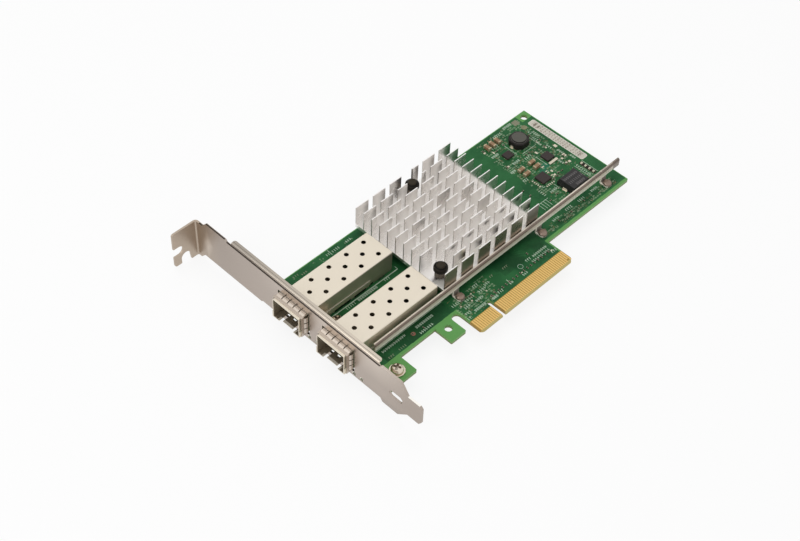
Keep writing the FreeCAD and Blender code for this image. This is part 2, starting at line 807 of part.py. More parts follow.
def heat_sink():
    """A base with long plate fins, cross-cut into columns and cleared round the push pins."""
    base = block(sink_left_x, sink_right_x, sink_low_y, sink_high_y, sink_base_z, sink_floor_z)
    row_pitch = (sink_width - fin_thickness) / (fin_rows - 1)
    fins = []
    for row in range(fin_rows):
        y = sink_low_y + row * row_pitch
        fins.append(block(sink_left_x, sink_right_x, y, y + fin_thickness, sink_floor_z, sink_top_z))
    fins = Part.makeCompound(fins)
    channels = []
    for column in range(1, fin_columns):
        x = sink_left_x + column * (fin_column_length + fin_gap_x) - fin_gap_x
        channels.append(block(x, x + fin_gap_x, sink_low_y - 1, sink_high_y + 1,
                              sink_floor_z, sink_top_z + 1))
    pockets = [rod(x, y, sink_floor_z, sink_top_z + 1, 2 * pin_pocket_radius) for x, y in push_pins_xy]
    fins = cut(fins, [Part.makeCompound(channels)] + pockets)
    sink = fuse([base] + [solid for solid in fins.Solids if solid.Volume > 1.0])
    holes = [small_rod(x, y, sink_base_z - 1, sink_floor_z + 1, push_pin_hole) for x, y in push_pins_xy]
    return cut(sink, holes)


def push_pin(x, y):
    """Turned nylon pin: sloping cap with a button, shank and a barb below the board."""
    cap_r = push_pin_cap / 2.0
    shank_r = push_pin_shank / 2.0
    barb_r = push_pin_barb / 2.0
    barb_z = board_back_z - push_pin_play
    button_r = push_pin_button / 2.0
    profile = [(shank_r * 0.6, push_pin_tip_z), (barb_r, barb_z - 0.4), (barb_r, barb_z), (shank_r, barb_z),
               (shank_r, push_pin_cap_low_z), (cap_r, push_pin_cap_low_z),
               (cap_r, push_pin_cap_high_z - push_pin_slope),
               (button_r, push_pin_cap_high_z - push_pin_button_rise), (button_r, push_pin_cap_high_z)]
    return turned(profile, x, y)


def push_pin_spring(x, y):
    """Coil of wire between the heat sink's base and the cap of the pin, in short straight steps."""
    wire_r = spring_wire / 2.0
    low = sink_floor_z + 2 * wire_r
    rise = push_pin_cap_low_z - sink_floor_z - 4 * wire_r
    radius = spring_diameter / 2.0 - wire_r
    count = spring_turns * spring_steps
    step = 2 * math.pi / spring_steps
    centres = [V(radius * math.cos(i * step), radius * math.sin(i * step), rise * i / count)
               for i in range(count + 1)]
    along = centres[1] - centres[0]
    start = Part.makePolygon([centres[0] + offset for offset in wire_corners(along, wire_r)])
    coil = Part.makePolygon(centres).makePipeShell([start], True, True, 1)
    coil.translate(V(x, y, low))
    return coil


def wire_corners(along, wire_r):
    """Closed square across the wire's direction."""
    side = z_axis.cross(along).normalize() * wire_r
    over = along.cross(side).normalize() * wire_r
    return [side, over, side * -1, over * -1, side]


# ---- controller ---------------------------------------------------------------------------------

def controller_package():
    cx, cy = sink_centre
    half = controller_side / 2.0
    lid_half = half - lid_inset
    substrate = block(cx - half, cx + half, cy - half, cy + half, 0, controller_height - lid_height)
    lid = block(cx - lid_half, cx + lid_half, cy - lid_half, cy + lid_half,
                controller_height - lid_height, controller_height)
    return fuse([substrate, lid])


def thermal_pad():
    cx, cy = sink_centre
    half = pad_side / 2.0
    return block(cx - half, cx + half, cy - half, cy + half, controller_height, sink_base_z)


# ---- stiffener rail -----------------------------------------------------------------------------

def stiffener_rail():
    back_y = rail_face_y + rail_sheet
    bend_z = rail_high_z - rail_sheet - rail_bend
    bend_y = back_y + rail_bend
    length = rail_right_x - rail_left_x
    web = block(rail_left_x, rail_right_x, rail_face_y, back_y, rail_low_z, bend_z)
    turn = bend(V(rail_left_x, bend_y, bend_z), x_axis, length, rail_bend, rail_sheet, 90)
    lip = block(rail_left_x, rail_right_x, bend_y, rail_face_y + rail_depth,
                rail_high_z - rail_sheet, rail_high_z)
    pieces = [web, turn, lip]
    for x in rail_feet_xs:
        x0, x1 = x - rail_foot_width / 2.0, x + rail_foot_width / 2.0
        leg_low = rail_foot_high_z + rail_bend
        pieces.append(block(x0, x1, rail_face_y, back_y, leg_low, rail_low_z))
        pieces.append(bend(V(x0, rail_face_y - rail_bend, leg_low), x_axis, rail_foot_width,
                           rail_bend, rail_sheet, 270))
        foot_low_edge = rail_face_y - rail_foot_reach
        foot = block(x0, x1, foot_low_edge, rail_face_y - rail_bend, 0, rail_sheet)
        foot = rounded(foot, z_axis, [(x0, foot_low_edge), (x1, foot_low_edge)], rail_foot_width * 0.45)
        pieces.append(foot.cut(small_rod(x, rail_screw_y, -1, 2, rail_screw_shank + screw_clearance)))
    return fuse(pieces)


# ---- parts soldered to the board ----------------------------------------------------------------

def power_inductor():
    cx, cy = inductor_centre
    half = inductor_side / 2.0
    body = block(cx - half, cx + half, cy - half, cy + half, 0, inductor_body_height)
    corners = [edge for edge in body.Edges if abs(edge.Curve.Direction.dot(z_axis)) > 0.999]
    body = body.makeChamfer(inductor_clip, corners)
    return fuse([body, rod(cx, cy, inductor_body_height, inductor_height, inductor_top_diameter)])


def terminals(centre, half_length, width):
    """A pair of solder clips folded up the two ends of a part."""
    cx, cy = centre
    clips = []
    for out in (-1, 1):
        wall = cx + out * half_length
        face = wall + out * terminal_sheet
        toe = wall + out * terminal_toe
        clip = [(wall, 0), (toe, 0), (toe, terminal_sheet), (face, terminal_sheet), (face, terminal_height),
                (wall, terminal_height)]
        clips.append(plate_xz(clip, cy - width / 2.0, cy + width / 2.0))
    return clips


def rectangle_wire(cx, cy, length, width, z):
    x0, x1 = cx - length / 2.0, cx + length / 2.0
    y0, y1 = cy - width / 2.0, cy + width / 2.0
    return Part.makePolygon([V(x0, y0, z), V(x1, y0, z), V(x1, y1, z), V(x0, y1, z), V(x0, y0, z)])


def power_module():
    """Moulded body with drafted sides above a straight foot."""
    cx, cy = module_centre
    foot = block(cx - module_length / 2.0, cx + module_length / 2.0, cy - module_width / 2.0,
                 cy + module_width / 2.0, 0, module_foot_height)
    low = rectangle_wire(cx, cy, module_length, module_width, module_foot_height)
    high = rectangle_wire(cx, cy, module_length - 2 * module_draft, module_width - 2 * module_draft,
                          module_height)
    return fuse([foot, Part.makeLoft([low, high], True)])


def chip_body(x, y, length, width):
    return block(x - length / 2.0, x + length / 2.0, y - width / 2.0, y + width / 2.0, 0, chip_height)


def chip_part(x, y, along_y, length, width, height):
    size_x, size_y = (width, length) if along_y else (length, width)
    return block(x - size_x / 2.0, x + size_x / 2.0, y - size_y / 2.0, y + size_y / 2.0, 0, height)


def chip_parts(spots_x, spots_y, length, width, height):
    return ([chip_part(x, y, False, length, width, height) for x, y in spots_x]
            + [chip_part(x, y, True, length, width, height) for x, y in spots_y])


def status_lamp(index):
    y = status_lamp_first_y + index * status_lamp_pitch
    half, side, lens_half = status_lamp_length / 2.0, status_lamp_width / 2.0, status_lamp_lens_length / 2.0
    base = block(status_lamp_x - half, status_lamp_x + half, y - side, y + side, 0, status_lamp_height / 2.0)
    lens = block(status_lamp_x - lens_half, status_lamp_x + lens_half, y - side, y + side,
                 status_lamp_height / 2.0, status_lamp_height)
    return fuse([base, lens])


def port_lamp(y):
    """Side-looking lamp under the board edge, behind its hole in the face bracket."""
    low_z = board_back_z - port_lamp_height
    side = port_lamp_width / 2.0
    inset = port_lamp_inset
    front = board_left_x + port_lamp_setback
    back = front + port_lamp_lens
    body = block(back, front + port_lamp_length, y - side, y + side, low_z, board_back_z)
    lens = block(front, back, y - side + inset, y + side - inset, low_z + inset, board_back_z - inset)
    return fuse([body, lens])


def board_label():
    label = block(label_left_x, label_right_x, label_low_y, label_high_y, 0, label_thickness)
    corners = [(x, y) for x in (label_left_x, label_right_x) for y in (label_low_y, label_high_y)]
    return rounded(label, z_axis, corners, label_corner)


# ---- screws -------------------------------------------------------------------------------------

def pan_screw(x, y, seat_z, shank, head, head_height, length):
    """Plain pan head with its shank pointing down."""
    head_r = head / 2.0
    shank_r = shank / 2.0
    profile = [(shank_r, -length), (shank_r, 0), (head_r, 0), (head_r, head_height * 0.45),
               (head_r * 0.82, head_height * 0.85), (head_r * 0.4, head_height)]
    return turned(profile, x, y, seat_z)


def washer(x, y):
    disc = small_rod(x, y, 0, washer_height, washer_diameter)
    return disc.cut(small_rod(x, y, -1, washer_height + 1, frame_screw_shank + screw_clearance))


# ---- build and save -----------------------------------------------------------------------------

present_index = contacts_short_tongue + contacts_long_tongue - 1 - present_contact_from_end

save("circuit_board", [circuit_board()])
save("contacts_component_side", contact_row(0, contact_foil, present_index))
save("contacts_solder_side", contact_row(board_back_z - contact_foil, board_back_z, 0))
save("face_bracket", [face_bracket()])
save("inner_frame", [inner_frame()])
for number, centre in enumerate(port_centres, 1):
    save("port_cage_%d" % number, [port_cage(centre)])
    save("port_tray_%d" % number, [port_tray(centre)])
    save("spring_collar_%d" % number, [spring_collar(centre)])
    save("port_socket_%d" % number, [port_socket(centre)])
    save("socket_contacts_%d" % number, socket_contacts(centre))
save("heat_sink", [heat_sink()])
save("push_pins", [push_pin(x, y) for x, y in push_pins_xy])
save("push_pin_springs", [push_pin_spring(x, y) for x, y in push_pins_xy])
save("controller_chip", [controller_package()])
save("thermal_pad", [thermal_pad()])
save("stiffener_rail", [stiffener_rail()])
save("frame_screws", [pan_screw(frame_screw_x, y, washer_height, frame_screw_shank, frame_screw_head,
                                frame_screw_head_height, frame_screw_length) for y in frame_screw_ys])
save("frame_screw_washers", [washer(frame_screw_x, y) for y in frame_screw_ys])
save("rail_screws", [pan_screw(x, rail_screw_y, rail_foot_high_z, rail_screw_shank, rail_screw_head,
                               rail_screw_head_height, rail_screw_length) for x in rail_feet_xs])
save("power_inductor", [power_inductor()])
save("inductor_terminals", terminals(inductor_centre, inductor_side / 2.0, terminal_width))
save("power_module", [power_module()])
save("module_terminals", terminals(module_centre, module_length / 2.0, module_terminal_width))
save("regulator_chips", [chip_body(*chip) for chip in chips])
save("shunt_resistor", [chip_part(*shunt_centre, False, shunt_length, shunt_width, shunt_height)])
save("ceramic_capacitors", chip_parts(capacitors_along_x, capacitors_along_y, capacitor_length,
                                      capacitor_width, capacitor_height))
coupling = [(coupling_first_x + i * coupling_pitch, coupling_y) for i in range(coupling_count)]
save("small_chip_parts", chip_parts(small_along_x, small_along_y + coupling, small_length,
                                    small_width, small_height))
save("status_lamps", [status_lamp(i) for i in range(status_lamp_count)])
save("port_lamps", [port_lamp(y) for y in lamp_ys])
save("board_label", [board_label()])
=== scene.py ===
import bpy, bmesh, json, math
from mathutils import Matrix, Vector


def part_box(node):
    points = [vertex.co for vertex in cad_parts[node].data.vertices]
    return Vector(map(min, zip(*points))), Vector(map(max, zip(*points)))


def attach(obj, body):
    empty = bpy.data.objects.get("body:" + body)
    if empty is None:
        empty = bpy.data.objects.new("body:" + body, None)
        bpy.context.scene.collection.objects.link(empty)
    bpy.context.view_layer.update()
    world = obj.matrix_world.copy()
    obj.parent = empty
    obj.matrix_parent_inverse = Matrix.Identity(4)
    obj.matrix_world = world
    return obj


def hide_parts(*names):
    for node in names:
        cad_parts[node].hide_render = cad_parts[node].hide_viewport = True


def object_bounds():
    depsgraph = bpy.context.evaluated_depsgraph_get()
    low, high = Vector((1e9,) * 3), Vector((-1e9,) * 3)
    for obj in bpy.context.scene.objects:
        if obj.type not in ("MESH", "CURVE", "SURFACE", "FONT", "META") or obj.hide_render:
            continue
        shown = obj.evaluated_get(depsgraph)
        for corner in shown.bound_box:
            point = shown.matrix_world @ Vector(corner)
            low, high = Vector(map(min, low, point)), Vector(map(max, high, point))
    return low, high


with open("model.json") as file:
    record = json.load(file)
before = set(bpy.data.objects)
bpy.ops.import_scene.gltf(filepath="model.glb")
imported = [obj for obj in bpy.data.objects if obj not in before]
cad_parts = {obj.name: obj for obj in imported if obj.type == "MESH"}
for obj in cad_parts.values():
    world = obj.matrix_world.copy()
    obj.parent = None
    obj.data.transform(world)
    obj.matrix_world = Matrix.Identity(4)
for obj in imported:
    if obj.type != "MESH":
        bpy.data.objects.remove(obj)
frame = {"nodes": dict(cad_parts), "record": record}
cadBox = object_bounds()
mm = 0.001              # in metres
weldGap = 0.000002      # corners of the loose CAD triangles that lie closer than this are one
print("frame loaded:", len(frame["nodes"]), "nodes")


class Wire:
    # one socket of a shader node, with its maths written as expressions
    def __init__(self, paint, socket):
        self.paint = paint
        self.socket = socket

    def maths(self, operation, *others):
        return self.paint.add("ShaderNodeMath", {"operation": operation}, [self, *others])

    def __add__(self, other): return self.maths("ADD", other)
    def __radd__(self, other): return self.maths("ADD", other)
    def __sub__(self, other): return self.maths("SUBTRACT", other)
    def __rsub__(self, other): return self.paint.add("ShaderNodeMath", {"operation": "SUBTRACT"}, [other, self])
    def __mul__(self, other): return self.maths("MULTIPLY", other)
    def __rmul__(self, other): return self.maths("MULTIPLY", other)
    def __truediv__(self, other): return self.maths("DIVIDE", other)
    def __gt__(self, other): return self.maths("GREATER_THAN", other)
    def __lt__(self, other): return self.maths("LESS_THAN", other)
    def least(self, other): return self.maths("MINIMUM", other)
    def most(self, other): return self.maths("MAXIMUM", other)
    def size(self): return self.maths("ABSOLUTE")
    def fraction(self): return self.maths("FRACT")
    def floor(self): return self.maths("FLOOR")
    def held(self): return self.least(1.0).most(0.0)                                    # kept from 0 to 1
    def ramp(self, start, end): return ((self - start) / (end - start)).held()          # 0 at start, 1 at end


class Paint:
    # a material, its Principled shader and one method that adds any node
    def __init__(self, name, colour=(0.8, 0.8, 0.8), metal=0.0, rough=0.5, **more):
        self.material = bpy.data.materials.new(name)
        self.material.use_nodes = True
        self.tree = self.material.node_tree
        self.shader = self.tree.nodes["Principled BSDF"]
        self.set("Base Color", (*colour, 1.0))
        self.set("Metallic", metal)
        self.set("Roughness", rough)
        for socket, value in more.items():
            self.set(socket.replace("_", " "), value)
        self.material.diffuse_color = (*colour, 1.0)

    def add(self, kind, settings=None, values=(), output=0):
        node = self.tree.nodes.new(kind)
        for key, value in (settings or {}).items():
            setattr(node, key, value)
        for key, value in values.items() if isinstance(values, dict) else enumerate(values):
            self.feed(node.inputs[key], value)
        return Wire(self, node.outputs[output])

    def feed(self, socket, value):
        if isinstance(value, Wire):
            self.tree.links.new(value.socket, socket)
        else:
            socket.default_value = value

    def set(self, socket, value):
        self.feed(self.shader.inputs[socket], value)

    def place(self, scale=(1000, 1000, 1000)):
        # the object's own coordinates, in millimetres unless they are stretched
        where = self.add("ShaderNodeTexCoord", output="Object")
        return self.add("ShaderNodeMapping", {"vector_type": "POINT"}, {"Vector": where, "Scale": scale})

    def axes(self, vector):
        return [self.add("ShaderNodeSeparateXYZ", None, [vector], output=i) for i in range(3)]

    def facing(self):
        return self.axes(self.add("ShaderNodeTexCoord", output="Normal"))

    def noise(self, vector, scale, detail=2.0, rough=0.5):
        values = {"Vector": vector, "Scale": scale, "Detail": detail, "Roughness": rough}
        return self.add("ShaderNodeTexNoise", None, values)

    def blend(self, share, first, second):
        return self.add("ShaderNodeMix", {"data_type": "RGBA"}, {0: share, 6: first, 7: second}, output=2)

    def bump(self, height, strength, distance):
        values = {"Strength": strength, "Distance": distance, "Height": height}
        self.set("Normal", self.add("ShaderNodeBump", None, values))


def tone(red, green, blue):
    return (red, green, blue, 1.0)


def within(x, y, box):
    left, right, low, high = box
    return (x > left) * (x < right) * (y > low) * (y < high)


def withinAny(x, y, boxes):
    zone = within(x, y, boxes[0])
    for box in boxes[1:]:
        zone = zone.most(within(x, y, box))
    return zone


def away(x, y, centre):
    # squared distance from an upright axis
    return (x - centre[0]) * (x - centre[0]) + (y - centre[1]) * (y - centre[1])


def choose(*pieces):
    # only these are selected, and the first is active
    closeEdit()
    bpy.ops.object.select_all(action="DESELECT")
    for piece in pieces:
        piece.select_set(True)
    bpy.context.view_layer.objects.active = pieces[0]


def openEdit():
    bpy.ops.object.mode_set(mode="EDIT")
    bpy.ops.mesh.select_all(action="SELECT")


def openTop(piece):
    # edit mode with the faces that look up selected
    bpy.ops.object.mode_set(mode="EDIT")
    bpy.ops.mesh.select_mode(type="FACE")
    bpy.ops.mesh.select_all(action="DESELECT")
    mesh = bmesh.from_edit_mesh(piece.data)
    for face in mesh.faces:
        face.select_set(face.normal.z > 0.9)
    mesh.select_flush(True)
    bmesh.update_edit_mesh(piece.data)


def closeEdit():
    if bpy.context.object and bpy.context.object.mode != "OBJECT":
        bpy.ops.object.mode_set(mode="OBJECT")


def settle(piece):
    # its place goes into the mesh, and the object stays at the origin
    choose(piece)
    bpy.ops.object.transform_apply(location=True, rotation=True, scale=True)
    return piece


def block(place, size, turned=0.0):
    bpy.ops.mesh.primitive_cube_add(size=1, location=place)
    piece = bpy.context.object
    piece.scale = size
    piece.rotation_euler = (0, 0, turned)
    return settle(piece)


def rod(radius, low, high, sides, centre=(0, 0)):
    bpy.ops.mesh.primitive_cylinder_add(vertices=sides, radius=radius, depth=high - low,
                                        location=(*centre, (low + high) / 2))
    return settle(bpy.context.object)


def finish(piece, paint, angle=35):
    settle(piece)
    if angle:
        bpy.ops.object.shade_smooth_by_angle(angle=math.radians(angle))
    piece.data.materials.clear()
    piece.data.materials.append(paint.material)
    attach(piece, "root")


def applyAll(piece):
    choose(piece)
    for modifier in list(piece.modifiers):
        bpy.ops.object.modifier_apply(modifier=modifier.name)


def bevelled(piece, width, segments=2, angle=30, smooth=0):
    if smooth:
        choose(piece)
        bpy.ops.object.shade_smooth_by_angle(angle=math.radians(smooth))
    edge = piece.modifiers.new("edge", "BEVEL")
    edge.width = width
    edge.segments = segments
    edge.limit_method = "ANGLE"
    edge.angle_limit = math.radians(angle)
    edge.use_clamp_overlap = True
    edge.harden_normals = bool(smooth)      # large faces stay flat beside their rounded edges
    applyAll(piece)


def cutAway(piece, cutter):
    hollow = piece.modifiers.new("hollow", "BOOLEAN")
    hollow.operation = "DIFFERENCE"
    hollow.solver = "EXACT"
    hollow.object = cutter
    applyAll(piece)
    bpy.data.objects.remove(cutter)


def joinAll(pieces, name):
    choose(*pieces)
    bpy.ops.object.join()
    pieces[0].name = name
    return pieces[0]


def copyTo(piece, x, y, z=0.0):
    twin = piece.copy()
    twin.data = piece.data.copy()
    bpy.context.scene.collection.objects.link(twin)
    twin.location = (x, y, z)
    return twin


def copiesAt(piece, spots):
    # one mesh repeated: x and y in mm, then its stretch along x and y, for each copy, all made one piece
    twins = []
    for x, y, wide, tall in spots:
        twin = copyTo(piece, x * mm, y * mm, piece.location.z)
        twin.scale = (wide, tall, 1.0)
        twins.append(twin)
    bpy.data.objects.remove(piece)
    choose(*twins)
    bpy.ops.object.transform_apply(location=True, rotation=True, scale=True)
    bpy.ops.object.join()
    return twins[0]


def solidBoxes(node):
    # the lowest and highest corner of each loose solid in a CAD node
    mesh = bmesh.new()
    mesh.from_mesh(frame["nodes"][node].data)
    bmesh.ops.remove_doubles(mesh, verts=mesh.verts, dist=weldGap)
    boxes, left = [], set(mesh.verts)
    while left:
        group, queue = set(), [left.pop()]
        while queue:
            vert = queue.pop()
            group.add(vert)
            for edge in vert.link_edges:
                other = edge.other_vert(vert)
                if other in left:
                    left.remove(other)
                    queue.append(other)
        boxes.append([Vector([pick(v.co[i] for v in group) for i in range(3)]) for pick in (min, max)])
    mesh.free()
    return sorted(boxes, key=lambda box: tuple(round(v, 5) for v in box[0]))


boardLow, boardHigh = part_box("circuit_board")
boardLook = dict(
    # the green field ends this far inside the outline, a little less at the far edges
    margin=1.1, wander=0.5, low=12.9, lessAtEnd=0.8, lessAtTop=0.75, corner=(82.5, 64.4),
    hook=dict(middle=-14.15, half=1.95, top=11.9, round=1.9, end=-12.6),
    tongue=(-11.4, 38.4), bare=(-12.2, 39.2), tongueTop=6.3, rimTop=0.9,
    viaCell=1.15, laneWidth=0.62, signCell=(1.35, 1.05), signPitch=0.36,
    # zones: x from, x to, y from, y to
    deepZones=[(-47.0, -13.0, 14.0, 30.0), (14.0, 40.0, 12.2, 24.0), (44.0, 84.0, 15.0, 17.5)],
    crowded=[(-12.0, 7.0, 7.0, 18.0), (56.0, 82.0, 22.0, 67.0), (-45.0, -14.0, 61.0, 67.5)],
    signZones=[(57.0, 82.0, 22.0, 67.5), (42.0, 84.0, 14.6, 18.6), (-12.0, 8.0, 6.8, 18.5)],
    slots=[(-44.6, -37.0, 43.85, 44.5), (-34.9, -28.9, 43.85, 44.45), (-22.4, -18.8, 43.9, 44.4)],
    tealZone=(64.0, 71.5, 37.5, 42.5), square=(78.6, 81.4, 64.8, 67.6), lampRow=(80.7, 82.6, 24.4, 32.5),
    # round spots: centre, squared radius
    redSpot=((-31.2, 16.9), 0.85), tanSpot=((80.6, 61.9), 1.7),
    pour=tone(0.010, 0.078, 0.024), open=tone(0.020, 0.118, 0.036), lane=tone(0.030, 0.150, 0.050),
    edge=tone(0.118, 0.318, 0.090), deep=tone(0.007, 0.046, 0.015), gold=tone(0.40, 0.25, 0.060),
    rim=tone(0.52, 0.42, 0.16), cut=tone(0.19, 0.38, 0.12), cutLow=tone(0.22, 0.16, 0.09),
    via=tone(0.20, 0.27, 0.17), sign=tone(0.36, 0.46, 0.30), red=tone(0.33, 0.13, 0.10), tan=tone(0.30, 0.26, 0.16),
    # slot is the colour of painted shade at the foot of the cage
    pad=tone(0.26, 0.24, 0.17), teal=tone(0.020, 0.150, 0.078), slot=tone(0.004, 0.014, 0.006),
    # painted shade between the status lamps
    lampBed=tone(0.018, 0.014, 0.010))


def boardField(paint, where, x, y):
    # 1 on the green field, 0 on the pale margin, the far corner and the hook's root
    look, hook = boardLook, boardLook["hook"]
    left, right, high = boardLow.x / mm, boardHigh.x / mm, boardHigh.y / mm
    wander = (paint.noise(where, 0.45) - 0.5) * look["wander"]
    inward = (x - left).least(right - x + look["lessAtEnd"])
    inward = inward.least((y - look["low"]).least(high - y + look["lessAtTop"]))
    tongue = (y < look["low"] + look["margin"] + 0.2) * (x > look["tongue"][0]) * (x < look["tongue"][1])
    corner = (x > look["corner"][0]) * (y > look["corner"][1])
    sideways = ((x - hook["middle"]).size() - hook["half"]).most(0.0)
    upwards = (y - hook["top"]).most(0.0)
    hookRoot = (sideways * sideways + upwards * upwards < hook["round"]) * (x < hook["end"])
    return ((inward + wander > look["margin"]) * (1.0 - corner)).most(tongue) * (1.0 - hookRoot)


def boardPaint():
    paint = Paint("greenBoard", (0.02, 0.12, 0.04), 0.0, 0.42, Specular_IOR_Level=0.16)
    look = boardLook
    where = paint.place()
    x, y, z = paint.axes(where)
    field = boardField(paint, where, x, y)
    # copper pours and traces show faintly through the mask, and some zones beside the cage and the rail are darker
    pour = paint.blend(((paint.noise(where, 0.07, 3.0) - 0.40) * 6.0).held(), look["pour"], look["open"])
    lane = ((x + y * 0.6 + paint.noise(where, 0.05) * 14.0) / look["laneWidth"]).fraction()
    lanes = (lane < 0.45) * (paint.noise(where, 0.13) > 0.52)
    traced = paint.blend(lanes * 0.6, pour, look["lane"])
    teal = within(x, y, look["tealZone"]) * (paint.noise(where, 0.3) > 0.45)
    tealed = paint.blend(teal, traced, look["teal"])
    soft = ((paint.noise(where, 0.10, 3.0) - 0.36) * 5.0).held()
    deep = paint.blend(withinAny(x, y, look["deepZones"]) * soft * 0.7, tealed, look["deep"])
    green = paint.blend(field, look["edge"], deep)
    # filled holes crowd some areas
    crowded = withinAny(x, y, look["crowded"]) * (paint.noise(where, 0.21) > 0.50)
    cells = {"Vector": where, "Scale": 1.0 / look["viaCell"], "Randomness": 0.75}
    dots = paint.add("ShaderNodeTexVoronoi", {"feature": "F1"}, cells)
    holes = (dots < 0.27) * crowded
    dotted = paint.blend(holes * 0.85, green, look["via"])
    plated = paint.blend((dots < 0.10) * crowded, dotted, look["deep"])
    # tiny signs that say nothing, one to a cell, and tiny bare bits between them
    wide, tall = look["signCell"]
    seed = paint.add("ShaderNodeCombineXYZ", None, [(x / wide).floor(), (y / tall).floor(), 3.0])
    chance = paint.add("ShaderNodeTexWhiteNoise", {"noise_dimensions": "3D"}, [seed])
    inCell = within((x / wide).fraction(), (y / tall).fraction(), (0.08, 0.86, 0.2, 0.84))
    signs = ((x / look["signPitch"]).fraction() < 0.55) * inCell
    signZones = withinAny(x, y, look["signZones"])
    signed = signs * (chance > 0.52) * signZones * (paint.noise(where, 0.19) > 0.44)
    plated = paint.blend(signed * 0.75, plated, look["sign"])
    bits = (dots > 0.30) * (dots < 0.42) * (chance < 0.30) * signZones
    plated = paint.blend(bits * 0.8, plated, look["cutLow"])
    # round and square spots left free of mask, and painted shade in strips on the board at the foot of the cage
    for name, share in (("red", 0.75), ("tan", 0.7)):
        centre, reach = look[name + "Spot"]
        plated = paint.blend((away(x, y, centre) < reach) * share, plated, look[name])
    squared = paint.blend(within(x, y, look["square"]) * 0.8, plated, look["pad"])
    # painted shade in strips at the foot of the cage
    squared = paint.blend(withinAny(x, y, look["slots"]) * 0.85, squared, look["slot"])
    # painted shade between the status lamps
    squared = paint.blend(within(x, y, look["lampRow"]), squared, look["lampBed"])
    # bare rows between the contacts, and their bevelled rim
    bare = (y < look["tongueTop"]) * (x > look["bare"][0]) * (x < look["bare"][1])
    rimmed = paint.blend((y < look["rimTop"]) * bare, paint.blend(bare, squared, look["gold"]), look["rim"])
    # cut sides of the laminate show pale glass fibre
    side = (z < -0.03) * (z > -1.54) * (1.0 - bare)
    cut = paint.blend(side, rimmed, look["cut"])
    paint.set("Base Color", paint.blend(side * (z < -1.1), cut, look["cutLow"]))
    paint.set("Metallic", bare * 0.35)
    paint.set("Roughness", paint.noise(where, 0.9) * 0.16 + 0.36)
    paint.bump(lanes * 0.5 + holes, 0.22, 0.00003)
    return paint


def metalPaint(name, colour, rough, grain=0.10, along="x", mottled=0.06, bump=0.05, metal=1.0, dress=None):
    # dress changes the colour from place to place: it takes the paint, the place in mm, the normal and the colour
    paint = Paint(name, colour, metal, rough)
    fineScale, longScale = 60.0, 1.5          # brushed metal has its grain drawn out along one axis
    scales = {"x": (longScale, fineScale, fineScale), "y": (fineScale, longScale, fineScale), "none": (fineScale,) * 3}
    fine = paint.noise(paint.place(scales[along]), 0.15, 3.0, 0.6)
    broad = paint.noise(paint.place(), 0.09, 2.0)
    paint.set("Roughness", (fine - 0.5) * grain + (broad - 0.5) * 0.10 + rough)
    base = spreadTone(paint, broad, colour, mottled)
    if dress:
        base = dress(paint, paint.axes(paint.place()), paint.facing(), base)
    paint.set("Base Color", base)
    paint.bump(fine, bump, 0.00002)
    return paint


def plasticPaint(name, colour, rough, grit=0.04, gloss=0.25, spread=0.15):
    paint = Paint(name, colour, 0.0, rough, Specular_IOR_Level=gloss)
    fine = paint.noise(paint.place(), 2.6, 2.0)
    paint.set("Roughness", (fine - 0.5) * 0.18 + rough)
    paint.set("Base Color", spreadTone(paint, fine, colour, spread))
    paint.bump(fine, grit, 0.00005)
    return paint


def spreadTone(paint, share, colour, spread):
    # from a darker to a lighter tone of one colour
    darker, lighter = [[min(1.0, c * (1.0 + way * spread)) for c in colour] for way in (-1, 1)]
    return paint.blend(share, tone(*darker), tone(*lighter))


bracketLook = dict(
    # most of these colours are painted light: shade low down and at both ends, highlights on the bend, the foot's edge
    # and the lamp holes, and shadow on the sheet's edges
    low=tone(0.31, 0.275, 0.25), glint=tone(0.74, 0.66, 0.58), hole=tone(0.97, 0.94, 0.88),
    tab=tone(0.50, 0.41, 0.32), sheared=tone(0.022, 0.017, 0.013), bright=tone(0.64, 0.56, 0.49),
    dull=tone(0.40, 0.340, 0.295), lampHoles=(12.5, 50.0, -3.9, -1.5), edge=(-58.35, -57.62, 3.0, 104.0),
    flange=13.7, tabFrom=89.0, foot=(-12.2, -6.6), bulge=(99.4, 4.0), bulgeReach=(3.4, 9.0))


def dressBracket(paint, place, facing, base):
    # painted light and shade: brighter on the upper face, painted shade at both ends and low down, warm at the tab,
    # painted shadow on the sheet's edges beside the flange, a painted glint on the bend, and painted highlights on the
    # foot's edge and in the lamp holes
    x, y, z = place
    look = bracketLook
    lampHoles = within(y, z, look["lampHoles"])
    # painted shadow on the sheet's edge faces, standing for the shadow gap beside the flange
    sheared = (1.0 - lampHoles) * (facing[2].size() > 0.7) * within(x, y, look["edge"])
    sheared = sheared * (z < look["flange"]).most(y > look["tabFrom"])
    # painted light on the upper face, and painted shade at both ends and low down
    shown = paint.blend(z.ramp(4.0, 13.0) * y.ramp(75.0, 35.0) * 0.8, base, look["bright"])
    shown = paint.blend(y.ramp(60.0, 90.0), shown, look["dull"])
    shown = paint.blend(y.ramp(8.0, -8.0) * 0.8, shown, look["dull"])
    shown = paint.blend(z.ramp(-1.0, -7.0) * y.ramp(60.0, 30.0) * 0.55, shown, look["low"])
    # a painted highlight along the foot's upper edge
    foot = (facing[2] > 0.5) * (y > look["foot"][0]) * (y < look["foot"][1])
    shown = paint.blend(foot, shown, look["hole"])
    # a painted glint where the bend bulges
    offY, offZ = [(v - middle).size() / reach for v, middle, reach in zip((y, z), look["bulge"], look["bulgeReach"])]
    bulge = (1.0 - (offY + offZ)).most(0.0).least(0.8)
    shown = paint.blend(bulge * (facing[0] < -0.7), shown, look["glint"])
    shown = paint.blend(y.ramp(92.0, 104.0) * 0.7, shown, look["tab"])
    # a painted highlight on the walls of the lamp holes
    shown = paint.blend(lampHoles * (facing[0].size() < 0.5), shown, look["hole"])
    return paint.blend(sheared * 0.92, shown, look["sheared"])


